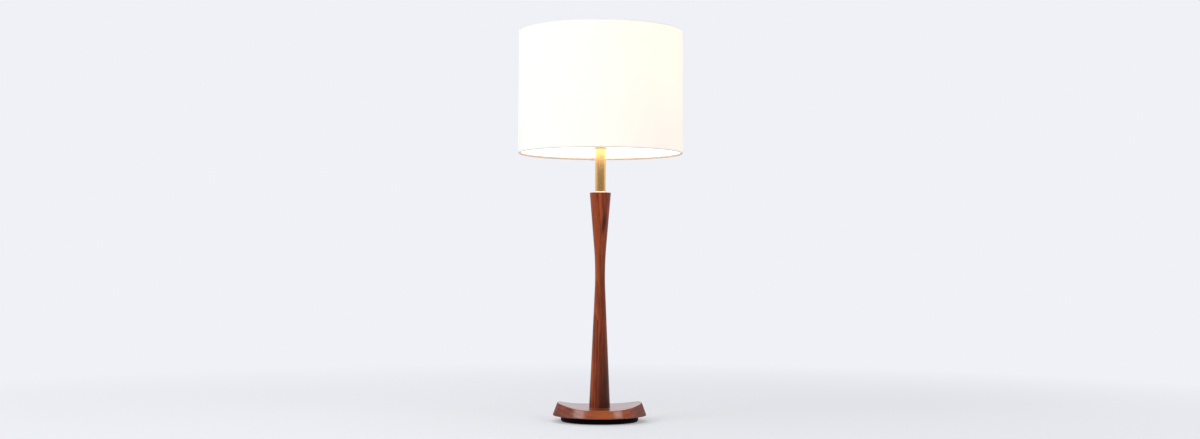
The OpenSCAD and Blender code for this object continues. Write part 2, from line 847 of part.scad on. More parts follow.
// Outline of the globe and neck, set in from the outer face by t
function globe(t) = concat(
    [[neck_r - t, bulb_skirt_h - 3]],
    arc([neck_r + neck_curve_r, neck_curve_h], neck_curve_r + t, 180, 180 - neck_angle, 10),
    arc([0, bulb_centre_h], bulb_r - t, -neck_angle, 90, 28));

module bulb_glass() {
    color("white")
        translate([0, 0, bulb_z])
            rotate_extrude() polygon(concat(globe(0), reversed(globe(bulb_wall))));
}

module bulb_cap() {
    wall = 0.6;
    sleeve_r = neck_r + fit + wall;
    sleeve_low = bulb_skirt_h - 4;
    color("silver")
        translate([0, 0, bulb_z])
            rotate_extrude()
                polygon(concat(
                    thread_outline(0, 0),
                    [[thread_r, thread_high_h + 1], [sleeve_r, sleeve_low],
                     [sleeve_r, bulb_skirt_h], [sleeve_r - wall, bulb_skirt_h],
                     [sleeve_r - wall, sleeve_low], [thread_r - thread_depth - wall, thread_high_h],
                     [thread_r - thread_depth - wall, thread_low_h]]));
}

module bulb_insulator() {
    color([0.12, 0.1, 0.1])
        translate([0, 0, bulb_z])
            rotate_extrude()
                polygon([
                    [4.5, 1], [5.5, 1], [thread_r - 1, thread_low_h],
                    [thread_r - thread_depth - 0.6, thread_low_h],
                    [thread_r - thread_depth - 0.6, thread_low_h + 1], [4.5, thread_low_h + 1]]);
}

module bulb_tip() {
    tip_r = 4.45;
    color("silver")
        translate([0, 0, bulb_z])
            rotate_extrude()
                polygon(concat(
                    [[0, 0]],
                    arc([tip_r - 1, 1], 1, -90, 0, 5),
                    [[tip_r, thread_low_h], [0, thread_low_h]]));
}

// The glass mount inside the bulb
module bulb_stem() {
    color("lightgray")
        translate([0, 0, bulb_z + bulb_skirt_h - 3]) {
            cylinder(r1 = neck_r - bulb_wall - fit, r2 = 5, h = 6);
            translate([0, 0, 6]) cylinder(r1 = 5, r2 = 2.5, h = 20);
        }
}

// Two lead wires and the filament that they hold
module bulb_filament() {
    lead_r = 0.4;
    mount_top = bulb_z + bulb_skirt_h + 23;
    filament_z = bulb_z + bulb_centre_h;
    reach = 11;
    rise = filament_z - mount_top;
    color("gray") {
        for (side = [-1, 1])
            translate([side, 0, mount_top - 0.01])
                rotate([0, side * atan((reach - 1) / rise), 0])
                    cylinder(r = lead_r, h = sqrt(pow(reach - 1, 2) + pow(rise, 2)));
        translate([-reach - lead_r, 0, filament_z])
            rotate([0, 90, 0]) cylinder(r = 0.8, h = 2 * reach + 2 * lead_r);
    }
}

// Shade

// The linen: a drum whose two edges are rolled inwards round the ring wires, with a slit for
// each spider arm
module shade_linen() {
    low = [ring_path_r, ring_low_z];
    high = [ring_path_r, ring_high_z];
    color("ivory")
        difference() {
            rotate_extrude($fn = 180)
                polygon(concat(
                    arc(high, roll_r, roll_angle, 0, 20),
                    arc(low, roll_r, 0, -roll_angle, 20),
                    arc(low, roll_r - linen_t, -roll_angle, 0, 20),
                    arc(high, roll_r - linen_t, 0, roll_angle, 20)));
            around(arm_angles) spider_arm(arm_r + fit);
        }
}

module shade_lining() {
    color("white")
        ring_of(shade_r - linen_t - lining_t, shade_r - linen_t, ring_low_z,
            ring_high_z - ring_low_z, $fn = 180);
}

module shade_ring(z) {
    color("silver") translate([0, 0, z]) rotate_extrude($fn = 180)
        translate([ring_path_r, 0]) circle(r = ring_r, $fn = 24);
}

// One wire along X, from inside the hub washer's edge to the middle of the top ring's wire
module spider_arm(r) {
    arm_l = (ring_path_r - hub_r) / cos(arm_rise);
    translate([hub_r, 0, hub_z + hub_t / 2])
        rotate([0, 90 - arm_rise, 0])
            translate([0, 0, -arm_lap]) cylinder(r = r, h = arm_l + arm_lap);
}

// Three wires, slotted over the hub washer's edge, that rise to the top ring
module spider_arms() {
    color("silver")
        difference() {
            around(arm_angles) spider_arm(arm_r);
            spider_hub();
            shade_ring(ring_high_z);
        }
}

module spider_hub() {
    color("silver") ring_of(hub_hole_r, hub_r, hub_z, hub_t);
}

// A turned finial: a foot, a neck that flares into it, a ball and a small tip
module finial() {
    foot_r = 7;
    foot_h = 2;
    neck_r = 4.8;
    flare = foot_r - neck_r - 0.4;
    ball_r = 8;
    tip_r = 2.4;
    tip_sink = 0.8;
    ball_h = finial_h - 2 * tip_r + tip_sink - ball_r;
    color("goldenrod")
        difference() {
            translate([0, 0, finial_z])
                rotate_extrude()
                    difference() {
                        union() {
                            square([foot_r, foot_h]);
                            square([neck_r + flare, foot_h + flare]);
                            square([neck_r, ball_h]);
                            translate([0, ball_h]) circle(r = ball_r);
                            translate([0, finial_h - tip_r]) circle(r = tip_r);
                        }
                        translate([neck_r + flare, foot_h + flare]) circle(r = flare);
                        translate([-2 * ball_r, -over]) square([2 * ball_r, finial_h + 2 * over]);
                    }
            translate([0, 0, finial_z - over])
                cylinder(r = stud_r + slip, h = stud_h - hub_t + 2 * over);
        }
}

felt_pad();
weight_plate();
plate_screws();
cord_grommet();
wood_base();
rod_washer();
rod_lock_washer();
rod_nut();
lamp_rod();
lower_stem();
upper_stem();
stem_bead();
brass_tube();
tube_cap();
harp_saddle();
harp_wire();
ferrule(-1);  // ferrule_left
ferrule(1);  // ferrule_right
harp_stud();
socket_cap();
cap_screw();
socket_shell();
socket_liner();
socket_body();
screw_shell();
centre_contact();
terminal_screws();
switch_shaft();
switch_knob();
bulb_glass();
bulb_cap();
bulb_insulator();
bulb_tip();
bulb_stem();
bulb_filament();
shade_linen();
shade_lining();
shade_ring(ring_high_z);  // shade_top_ring
shade_ring(ring_low_z);  // shade_bottom_ring
spider_arms();
spider_hub();
finial();
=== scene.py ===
# %% [markdown]
# An accent lamp, dressed for its picture.
# The frame holds every piece of the lamp at its real size, and already places the base, the
# stem, the neck, the harp, the socket and the shade. This lesson gives them their looks: it
# turns the wood again with eased edges, stretches real cloth over the shade's rings, and writes
# the walnut, the brass and the linen as node materials. Everything is in metres, with the table
# at zero and Z up.

# %% Load the frame
import math

import bmesh
import bpy
from mathutils import Matrix, Vector


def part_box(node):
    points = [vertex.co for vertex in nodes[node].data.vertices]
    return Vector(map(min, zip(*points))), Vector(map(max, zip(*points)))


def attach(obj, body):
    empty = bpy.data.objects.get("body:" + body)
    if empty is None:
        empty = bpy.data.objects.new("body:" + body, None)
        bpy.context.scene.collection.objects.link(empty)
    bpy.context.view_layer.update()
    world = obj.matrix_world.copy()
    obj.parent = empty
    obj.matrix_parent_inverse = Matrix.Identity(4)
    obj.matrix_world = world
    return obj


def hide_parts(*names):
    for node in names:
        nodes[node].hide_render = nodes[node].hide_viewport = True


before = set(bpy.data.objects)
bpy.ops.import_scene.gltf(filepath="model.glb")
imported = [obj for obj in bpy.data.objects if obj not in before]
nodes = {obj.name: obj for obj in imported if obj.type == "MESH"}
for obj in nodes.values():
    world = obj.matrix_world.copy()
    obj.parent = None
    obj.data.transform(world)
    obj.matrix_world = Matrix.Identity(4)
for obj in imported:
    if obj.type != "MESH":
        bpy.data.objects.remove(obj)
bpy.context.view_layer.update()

MM = 0.001


def new_object(name, data):
    """An object that shows the data, linked into the scene."""
    made = bpy.data.objects.new(name, data)
    bpy.context.scene.collection.objects.link(made)
    return made


# %% [markdown]
# The camera stands where the photographer stood: about three and a half metres off and a
# little under the middle of the lamp, so that it looks up into the shade and down on the base.
# The lamp is turned by under four degrees, which shows in the right horn of the base. A long
# lens from far away keeps the drum's rims flat, and a short one close by would bow them. The
# photographer also held the camera a fifth of a degree off level, so it gets a little roll.

# %% Camera
CAMERA_DISTANCE = 3.468
CAMERA_HEIGHT = 0.344
CAMERA_TURN = math.radians(-3.7)
CAMERA_PAN = math.radians(0.01)
CAMERA_PITCH = math.radians(1.985)
CAMERA_ROLL = math.radians(0.22)
LENS = 45.0
SENSOR = 36.0

camera = new_object("camera", bpy.data.cameras.new("camera"))
camera.data.lens = LENS
camera.data.sensor_width = SENSOR
camera.location = (CAMERA_DISTANCE * math.sin(CAMERA_TURN),
                   -CAMERA_DISTANCE * math.cos(CAMERA_TURN),
                   CAMERA_HEIGHT)
aim = (Matrix.Rotation(CAMERA_TURN + CAMERA_PAN, 3, "Z")
       @ Matrix.Rotation(math.pi / 2 + CAMERA_PITCH, 3, "X")
       @ Matrix.Rotation(CAMERA_ROLL, 3, "Z"))
camera.rotation_euler = aim.to_euler()
bpy.context.scene.camera = camera
print("camera at", [round(v, 3) for v in camera.location])

# %% [markdown]
# A turned piece is one outline swept round an axis, which is what a lathe makes. The outline
# could be typed as a long list of points, but it is easier to read as a few straight lines and
# arcs, so the first helper returns an arc's points. The others draw an outline as a strip of
# edges and sweep it with the spin operator. A full turn has its seam closed, and the normals are
# worked out again, because spinning an outline that runs downwards leaves it inside out.

# %% Outlines and the lathe
LATHE_STEPS = 128
WELD = 1e-6


def arc(centre, radius, start, stop, steps):
    """Points of an arc as (distance from the axis, height); the angles are in degrees."""
    points = []
    for i in range(steps + 1):
        angle = math.radians(start + (stop - start) * i / steps)
        points.append((centre[0] + radius * math.cos(angle),
                       centre[1] + radius * math.sin(angle)))
    return points


def draw_strip(bm, outline, closed=False):
    """The vertices and edges of an outline of (distance from the axis, height)."""
    verts = [bm.verts.new((r, 0, z)) for r, z in outline]
    followers = verts[1:] + verts[:1] if closed else verts[1:]
    return verts, [bm.edges.new(pair) for pair in zip(verts, followers)]


def spin(bm, verts, edges, steps, angle=math.tau):
    """Sweeps a strip round Z, and closes the seam of a full turn."""
    full = angle == math.tau
    bmesh.ops.spin(bm, geom=verts + edges, cent=(0, 0, 0), axis=(0, 0, 1), dvec=(0, 0, 0),
                   angle=angle, steps=steps, use_merge=full, use_duplicate=False)
    if full:
        bmesh.ops.remove_doubles(bm, verts=bm.verts, dist=WELD)


def lathe(outline):
    """A bmesh of a closed outline, spun once round Z."""
    bm = bmesh.new()
    spin(bm, *draw_strip(bm, outline, closed=True), LATHE_STEPS)
    bmesh.ops.recalc_face_normals(bm, faces=bm.faces)
    return bm


# %% [markdown]
# A finished piece needs a name, a finish, a body to ride on and the node that it stands for.
# One helper does all of it, so that no piece forgets a step. Smooth shading is right for round
# wood and metal, but it would smear the light over a real edge, so edges that turn by more than
# a set angle are marked sharp.

# %% Finish a piece
CREASE = math.radians(32)


def finish_piece(name, bm, material, body, slot, *replaced, crease=CREASE):
    """Makes the bmesh an object that rides on a body and stands for CAD nodes."""
    mesh = bpy.data.meshes.new(name)
    bm.to_mesh(mesh)
    bm.free()
    mesh.shade_smooth()
    mesh.set_sharp_from_angle(angle=crease)
    piece = new_object(name, mesh)
    mesh.materials.append(material)
    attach(piece, body)
    if replaced:
        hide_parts(*replaced)
    print(f"{name}: {len(mesh.polygons)} faces")
    return piece


# %% [markdown]
# Materials are built from nodes. Written out by hand each one is dozens of lines of wiring, so
# a few short helpers keep them readable. These start a material with its shader, add a node and
# set its sockets by name, join two sockets, and feed a socket from a plain value or from another
# socket. A value that is the same all over a surface goes straight on the shader's own socket.
# A world has a node tree too, so all but the first work on it as well.

# %% Material helpers
def set_sockets(node, values):
    """Sets a node's inputs by name, with an underscore for each space."""
    for socket, value in values.items():
        node.inputs[socket.replace("_", " ")].default_value = value


def start_material(name, **sockets):
    """A new material and its Principled shader, with those sockets set."""
    material = bpy.data.materials.new(name)
    material.use_nodes = True
    shader = material.node_tree.nodes["Principled BSDF"]
    set_sockets(shader, sockets)
    return material, shader


def add(home, kind, settings=None, **sockets):
    """A new node. home is a material, a world, or any socket of the node tree; settings are
    the node's own properties, and sockets are its inputs' values."""
    tree = home.id_data if isinstance(home, bpy.types.NodeSocket) else home.node_tree
    made = tree.nodes.new("ShaderNode" + kind)
    for key, value in (settings or {}).items():
        setattr(made, key, value)
    set_sockets(made, sockets)
    return made


def join(output, target):
    """Wires one socket to another, in the node tree that they belong to."""
    target.id_data.links.new(output, target)


def feed(value, target):
    """Sets a socket to a number or a colour, or wires another socket to it."""
    if isinstance(value, (int, float)):
        target.default_value = value
    elif isinstance(value, tuple):
        target.default_value = (*value, 1)
    else:
        join(value, target)


# %% [markdown]
# A pattern is read somewhere, spread over a useful range, and then turned into a colour, a
# roughness or a height. The next helpers each stand for one such step. Patterns are read at the
# piece's own coordinates, so that they stay on it when it moves, and their size comes from the
# scale of those coordinates. A socket knows its node tree, so most helpers only need sockets.

# %% Patterns and numbers
NOISE_LOW = 0.25                # nearly all of a noise pattern lies between these two
NOISE_HIGH = 0.75


def stretched(vector, scale, move=(0, 0, 0), turn=(0, 0, 0)):
    """Coordinates on another scale. A Mapping node scales before it turns, so a pattern that
    is both stretched and turned needs one node for each."""
    mapping = add(vector, "Mapping", Scale=scale, Location=move, Rotation=turn)
    join(vector, mapping.inputs["Vector"])
    return mapping.outputs["Vector"]


def placed(material, scale=(1, 1, 1), move=(0, 0, 0), turn=(0, 0, 0), kind="Object"):
    """The piece's own coordinates, scaled, moved and turned."""
    return stretched(add(material, "TexCoord").outputs[kind], scale, move, turn)


def axes(vector):
    """The X, Y and Z of a vector, as the outputs of one node."""
    parts = add(vector, "SeparateXYZ")
    join(vector, parts.inputs[0])
    return parts.outputs


def length_of(vector):
    """The length of a vector."""
    made = add(vector, "VectorMath", {"operation": "LENGTH"})
    join(vector, made.inputs[0])
    return made.outputs["Value"]


def noise(vector, detail=3.0, roughness=0.55):
    """A noise pattern's factor, from 0 to 1."""
    made = add(vector, "TexNoise", Scale=1.0, Detail=detail, Roughness=roughness)
    join(vector, made.inputs["Vector"])
    return made.outputs["Fac"]


def spread(factor, low, high, from_low=0.0, from_high=1.0):
    """The factor, stretched from one range to another."""
    made = add(factor, "MapRange", From_Min=from_low, From_Max=from_high,
               To_Min=low, To_Max=high)
    join(factor, made.inputs["Value"])
    return made.outputs["Result"]


def combine(how, first, second=0.0):
    """A socket and a second value, plain or a socket, through a Math node."""
    made = add(first, "Math", {"operation": how})
    feed(first, made.inputs[0])
    feed(second, made.inputs[1])
    return made.outputs[0]


# %% Colours and relief
MIX_NUMBERS = (0, 2, 3)         # a Mix node's inputs for a factor and two numbers
MIX_COLORS = (0, 6, 7)          # and for a factor and two colours
MIXED_COLOR = 2                 # place of its colour output


def ramp(factor, *stops):
    """A colour ramp through stops of (position, colour)."""
    made = add(factor, "ValToRGB")
    elements = made.color_ramp.elements
    while len(elements) < len(stops):
        elements.new(0.5)
    for element, (position, color) in zip(elements, stops):
        element.position = position
        element.color = (*color, 1)
    join(factor, made.inputs["Fac"])
    return made.outputs["Color"]


def mix(places, values, **settings):
    """A Mix node with a factor and two values in its places, each plain or a socket."""
    home = next(v for v in values if isinstance(v, bpy.types.NodeSocket))
    made = add(home, "Mix", settings)
    for place, value in zip(places, values):
        feed(value, made.inputs[place])
    return made.outputs


def mix_number(factor, first, second):
    """Two numbers, mixed."""
    return mix(MIX_NUMBERS, (factor, first, second))[0]


def mix_color(factor, first, second, blend="MIX"):
    """Two colours, mixed."""
    return mix(MIX_COLORS, (factor, first, second), data_type="RGBA",
               blend_type=blend)[MIXED_COLOR]


def stain(color, spot, share, other):
    """The colour, turned towards another one by a share in a spot."""
    return mix_color(combine("MULTIPLY", spot, share), color, other)


def dimmed(color, value):
    """The colour times a number, which reaches the Mix node as a grey."""
    grey = add(value, "CombineColor")
    for socket in grey.inputs:
        join(value, socket)
    return mix_color(1.0, color, grey.outputs[0], "MULTIPLY")


def bump(shader, height, depth, strength):
    """Raises the surface by the height pattern; depth is in metres."""
    made = add(height, "Bump", Strength=strength, Distance=depth)
    join(height, made.inputs["Height"])
    join(made.outputs["Normal"], shader.inputs["Normal"])


# %% [markdown]
# Oiled walnut has three scales of figure. Growth rings run the length of the tree, and where a
# turned taper cuts them at a slant they come out as long flames and arches. Fibres are fine
# streaks along the grain, and pores are short dark dashes. A ring is a distance from the heart
# of the tree, so the pattern takes that distance, bends it with slow noise, counts the rings and
# shades each one from pale to dark. The arches then appear by themselves. Noise stretched along
# the grain makes the fibres and the pores.

# %% Rings and end grain
BEND_SCALE = (14, 14, 2.6)      # scale of the slow noise that bends the rings
RING_BEND = 0.030               # how far it moves them, in metres
SUMMER = 0.88                   # share of a year over which its ring darkens
END_FACING = (0.58, 0.90)       # how squarely a face looks along X where end grain fades in


def growth_rings(vector, ring_width, seed):
    """Rings round the vector's Z axis: pale after winter, darker through the summer."""
    flat = add(vector, "VectorMath", {"operation": "MULTIPLY"})
    join(vector, flat.inputs[0])
    flat.inputs[1].default_value = (1, 1, 0)
    slow = noise(stretched(vector, BEND_SCALE, (seed, 0, 0)), 2.0)
    radius = combine("ADD", length_of(flat.outputs[0]), combine("MULTIPLY", slow, RING_BEND))
    year = combine("FRACT", combine("DIVIDE", radius, ring_width))
    summer = spread(year, 1.0, 0.0, 0.0, SUMMER)
    winter = spread(year, 0.0, 1.0, SUMMER, 1.0)
    return combine("ADD", summer, winter)


def end_grain(material):
    """1 where the piece faces along X, across the ends of its fibres, and 0 elsewhere."""
    facing = axes(placed(material, kind="Normal"))["X"]
    return spread(combine("ABSOLUTE", facing), 0.0, 1.0, *END_FACING)


# %% Walnut
WALNUT_DARK = (0.062, 0.010, 0.005)
WALNUT_BROWN = (0.185, 0.030, 0.009)
WALNUT_RED = (0.330, 0.058, 0.011)
WALNUT_LIGHT = (0.460, 0.118, 0.030)
FIGURE = [(0.30, WALNUT_DARK), (0.42, WALNUT_BROWN), (0.54, WALNUT_RED), (0.74, WALNUT_LIGHT)]
FIBRE_SCALE = (380, 380, 8)
PORE_SCALE = (1500, 1500, 42)
CLOUD_SCALE = (26, 26, 5)
FIBRE_SHARE = 0.40              # how much of the figure the fibres make
CLOUD_SHARE = 0.46              # and how much its slow clouds make
OPEN_PORES = (0.60, 0.72)       # the pattern's range over which a pore opens
PORE_SHARE = 0.5
WOOD_ROUGHNESS = (0.30, 0.46)
GRAIN_DEPTH = 0.00012
END_DARK = 0.46                 # share of dark wood in end grain
END_ROUGH = 0.34                # roughness that end grain adds
END_POLISH = 0.12               # share of the polish that it keeps


def walnut(name, lie, slant, ring_width, heart, seed, ring_share, polish, mark, ends=False):
    """Oiled walnut. lie brings the grain onto Z, slant tilts the rings a little more, heart
    moves the tree's heart, and mark adds the piece's own marks. ends is for a piece whose
    sides show end grain, which is darker and takes little polish."""
    material, shader = start_material(name, Roughness=0.4, Specular_IOR_Level=0.20,
                                      Coat_Weight=polish, Coat_Roughness=0.23)
    tilt = tuple(math.radians(a + b) for a, b in zip(lie, slant))
    rings = growth_rings(placed(material, move=heart, turn=tilt), ring_width, seed)
    straight = placed(material, turn=tuple(math.radians(a) for a in lie))
    fibres = noise(stretched(straight, FIBRE_SCALE, (seed, 0, 0)), 4.0)
    pores = noise(stretched(straight, PORE_SCALE, (0, seed, 0)), 2.0)
    clouds = noise(stretched(straight, CLOUD_SCALE, (seed, seed, 0)))

    figure = combine("MULTIPLY", rings, ring_share)
    figure = combine("ADD", figure, combine("MULTIPLY", fibres, FIBRE_SHARE))
    figure = combine("ADD", figure, combine("MULTIPLY", clouds, CLOUD_SHARE))
    open_pores = spread(pores, 0.0, 1.0, *OPEN_PORES)
    color = stain(ramp(figure, *FIGURE), open_pores, PORE_SHARE, WALNUT_DARK)
    color = mark(material, color)
    rough = spread(fibres, *WOOD_ROUGHNESS)
    if ends:
        across = end_grain(material)
        color = stain(color, across, END_DARK, WALNUT_DARK)
        rough = combine("ADD", rough, combine("MULTIPLY", across, END_ROUGH))
        join(spread(across, polish, END_POLISH * polish), shader.inputs["Coat Weight"])
    join(color, shader.inputs["Base Color"])
    join(rough, shader.inputs["Roughness"])
    relief = combine("SUBTRACT", combine("MULTIPLY", fibres, 0.5), open_pores)
    bump(shader, relief, GRAIN_DEPTH, strength=0.5)
    return material


# %% [markdown]
# The wood has marks of its own. The stem is darker on its right, the side away from the key
# lamp: partly darker heartwood and partly painted shade. High up there is a small dark knot, and
# the middle of the base's front is paler and redder. They could be painted on an image, but it
# would have to be large to stay sharp close by. So all are soft spots in the piece's own space:
# the distance from a centre, on a scale that makes the spot longer than it is wide. A little
# noise on that distance gives it tongues along the grain.

# %% Heartwood and painted shade, the knot and the pale flame
TONGUE_SCALE = (260, 260, 16)
KNOT_COLOR = (0.018, 0.006, 0.004)
KNOT_SPOTS = [                  # centre, size and strength, from its top to its tail
    ((0.0100, -0.0160, 0.476), (0.0060, 0.0120, 0.026), 0.48),
    ((0.0076, -0.0160, 0.457), (0.0070, 0.0120, 0.024), 0.97),
    ((0.0042, -0.0165, 0.441), (0.0050, 0.0120, 0.016), 0.60),
]
# painted shade: the stem's right side, away from the key lamp, is darkened along with its
# heartwood
HEARTWOOD_AND_SHADE_COLOR = (0.050, 0.010, 0.005)
HEARTWOOD_AND_SHADE_LOW = ((0.0125, -0.020, 0.015), (0.0270, 0.050, 0.255), 0.90)
HEARTWOOD_AND_SHADE_HIGH = ((0.0110, -0.012, 0.290), (0.0220, 0.050, 0.165), 0.52)
FLAME_CENTRE = (0.004, -0.104, 0.022)
FLAME_SIZE = (0.060, 0.030, 0.034)
FLAME_COLOR = (0.50, 0.112, 0.022)
FLAME_SHARE = 0.70


def soft_spot(material, centre, size, edge, ragged=0.0):
    """1 at the centre of a spot, falling to 0 at its size; edge is where the fall begins."""
    scale = tuple(1 / s for s in size)
    away = tuple(-c / s for c, s in zip(centre, size))
    distance = length_of(placed(material, scale, away))
    if ragged:
        tongues = noise(placed(material, TONGUE_SCALE), 2.0)
        distance = combine("ADD", distance,
                           spread(tongues, -ragged, ragged, NOISE_LOW, NOISE_HIGH))
    return spread(distance, 1.0, 0.0, edge, 1.0)


def heartwood_and_shade(material, color, centre, size, share):
    """Darker heartwood and painted shade on the stem's right side, away from the key lamp."""
    spot = soft_spot(material, centre, size, edge=0.35, ragged=0.12)
    return stain(color, spot, share, HEARTWOOD_AND_SHADE_COLOR)


def low_marks(material, color):
    """The heartwood and painted shade of the lower length."""
    return heartwood_and_shade(material, color, *HEARTWOOD_AND_SHADE_LOW)


def high_marks(material, color):
    """The heartwood and painted shade of the upper length, and its knot, a slanting row of three
    spots.
    """
    color = heartwood_and_shade(material, color, *HEARTWOOD_AND_SHADE_HIGH)
    for centre, size, share in KNOT_SPOTS:
        color = stain(color, soft_spot(material, centre, size, edge=0.10), share, KNOT_COLOR)
    return color


def pale_flame(material, color):
    """The paler, redder wood in the middle of the base's front."""
    spot = soft_spot(material, FLAME_CENTRE, FLAME_SIZE, edge=0.0, ragged=0.10)
    return stain(color, spot, FLAME_SHARE, FLAME_COLOR)


# %% Three cuts of walnut
UPRIGHT = (0, 0, 0)             # turns that bring the grain onto Z, in degrees
ALONG_X = (0, 90, 0)
lower_walnut = walnut("walnut_lower_stem", UPRIGHT, slant=(1.6, -1.2, 0), ring_width=0.0075,
                      heart=(0.034, 0.012, 0), seed=1.7, ring_share=0.17, polish=0.05,
                      mark=low_marks)
upper_walnut = walnut("walnut_upper_stem", UPRIGHT, slant=(-2.4, 2.0, 0), ring_width=0.0085,
                      heart=(0.030, 0.022, 0), seed=4.3, ring_share=0.14, polish=0.05,
                      mark=high_marks)
base_walnut = walnut("walnut_base", ALONG_X, slant=(0, 0, 2), ring_width=0.0080,
                     heart=(0.300, -0.010, 0.05), seed=8.1, ring_share=0.11, polish=0.90,
                     mark=pale_flame, ends=True)
print("walnut: three cuts of one kind of wood")

# %% [markdown]
# The stem is turned in two lengths that meet at a fine glue line. Its outline is two straight
# tapers and one long arc that touches both, which gives the narrow waist. The ends of the
# tapers are read from the frame, so the new pieces stand exactly where the plain ones do. Every
# edge that a hand would meet is eased, and so are the two edges of the glue line, because that
# is what makes the joint visible in real light.

# %% The stem's outline
MEET_HEIGHT = 321.0 * MM        # height above the foot at which the two tapers would meet
MEET_RADIUS = 10.0 * MM
WAIST_CURVE = 820 * MM
EASE = 0.35 * MM                # easing of the glue line's edges
FOOT_EASE = 0.5 * MM
TOP_EASE = 1.1 * MM
JOINT_GAP = 0.04 * MM
TENON = 3.5 * MM                # length of the foot that is out of sight in the base

lower_low, lower_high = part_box("lower_stem")
upper_low, upper_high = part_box("upper_stem")
base_low, base_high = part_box("wood_base")
foot_z = lower_low.z + TENON
top_z = upper_high.z
joint_z = upper_low.z
foot_radius = lower_high.x
top_radius = upper_high.x
stem_height = top_z - foot_z

lower_taper = math.atan((foot_radius - MEET_RADIUS) / MEET_HEIGHT)
upper_taper = math.atan((top_radius - MEET_RADIUS) / (stem_height - MEET_HEIGHT))
touch = WAIST_CURVE * math.tan((lower_taper + upper_taper) / 2)
waist_low = MEET_HEIGHT - touch * math.cos(lower_taper)
waist_high = MEET_HEIGHT + touch * math.cos(upper_taper)
curve_height = waist_low + WAIST_CURVE * math.sin(lower_taper)
curve_radius = MEET_RADIUS + touch * math.sin(lower_taper) + WAIST_CURVE * math.cos(lower_taper)


def stem_radius(z):
    """Radius of the stem at a height above the table."""
    h = z - foot_z
    if h <= waist_low:
        return foot_radius - h * math.tan(lower_taper)
    if h >= waist_high:
        return top_radius - (stem_height - h) * math.tan(upper_taper)
    return curve_radius - math.sqrt(WAIST_CURVE ** 2 - (h - curve_height) ** 2)


def stem_outline(low, high, steps):
    """Points up the stem between two heights."""
    heights = [low + (high - low) * i / steps for i in range(steps + 1)]
    return [(stem_radius(z), z) for z in heights]


waist = min(radius for radius, z in stem_outline(foot_z, top_z, 400))
print(f"waist: {2 * waist / MM:.1f} mm across")

# %% Turn the two lengths of stem
ROD_HOLE = 5.4 * MM
EASE_STEPS = 4


def turned_stem(name, low, high, low_ease, high_ease, steps, material, node):
    """One length of the stem between two heights, with both edges eased."""
    outline = [(ROD_HOLE, low)]
    outline += arc((stem_radius(low) - low_ease, low + low_ease), low_ease, -90, 0, EASE_STEPS)
    outline += stem_outline(low + 1.5 * low_ease, high - 1.5 * high_ease, steps)
    outline += arc((stem_radius(high) - high_ease, high - high_ease), high_ease, 0, 90,
                   EASE_STEPS)
    outline.append((ROD_HOLE, high))
    return finish_piece(name, lathe(outline), material, "stand", "walnut", node)


turned_stem("stem_lower_turned", foot_z, joint_z - JOINT_GAP, FOOT_EASE, EASE, steps=40,
            material=lower_walnut, node="lower_stem")
turned_stem("stem_upper_turned", joint_z + JOINT_GAP, top_z, EASE, TOP_EASE, steps=56,
            material=upper_walnut, node="upper_stem")

# %% [markdown]
# The base is a leaning disc with a saddle across its top. A boolean cut would leave a ragged
# edge that can't be eased cleanly, so it is made the other way: a plain disc is spun with many
# rings, and then each vertex is moved to where the saddle puts it. The saddle's height depends
# only on the distance along X: a shallow arc in the middle and a tighter arc up to each horn.
# The rim keeps a small round of its own, because its outline is swept with the rest.

# %% The saddle's height
SHALLOW_CURVE = 800 * MM
SHALLOW_HALF = 40 * MM
TROUGH_THICKNESS = 17.5 * MM
LEAN = 0.34                     # how far the side leans in for each unit of height
HORN_FLAT = 2 * MM
RIM_GUESSES = 12

base_bottom = base_low.z
base_radius = base_high.x
horn_height = base_high.z - base_low.z
shallow_angle = math.asin(SHALLOW_HALF / SHALLOW_CURVE)
shallow_rise = SHALLOW_CURVE * (1 - math.cos(shallow_angle))
horn_run = base_radius - LEAN * horn_height - HORN_FLAT - SHALLOW_HALF
horn_rise = horn_height - TROUGH_THICKNESS - shallow_rise
horn_curve = (horn_run ** 2 + horn_rise ** 2) / 2 / (
    horn_rise * math.cos(shallow_angle) - horn_run * math.sin(shallow_angle))


def saddle_height(x):
    """Height of the saddle above the wood's underside, at a distance along X."""
    x = abs(x)
    if x <= SHALLOW_HALF:
        rise = SHALLOW_CURVE - math.sqrt(SHALLOW_CURVE ** 2 - x ** 2)
    else:
        slope = math.sin(shallow_angle) + (x - SHALLOW_HALF) / horn_curve
        rise = shallow_rise + horn_curve * (math.cos(shallow_angle) - math.sqrt(1 - slope ** 2))
    return min(TROUGH_THICKNESS + rise, horn_height)


def side_radius(height):
    """Radius of the base's leaning side at a height above the wood's underside."""
    return base_radius - LEAN * height


def rim_height(angle):
    """Height at which the side meets the saddle, looking out at an angle from X. Each guess
    gives a radius, and the radius a better guess."""
    height = TROUGH_THICKNESS
    for _ in range(RIM_GUESSES):
        height = saddle_height(side_radius(height) * math.cos(angle))
    return height


print(f"saddle: {(horn_height - TROUGH_THICKNESS) / MM:.1f} mm deep between the horns")

# %% Shape the base
LOWER_ROUND = 0.9 * MM
RIM_ROUND = 1.5 * MM
SIDE_FACES = 18                 # degrees that the leaning side looks up
UNDERSIDE_HOLE = 3 * ROD_HOLE
SEAT_GAP = 0.05 * MM
BASE_STEPS = 192
SIDE_RINGS = 8
TOP_RINGS = 22
ROUND_STEPS = 6
BASE_CREASE = math.radians(50)


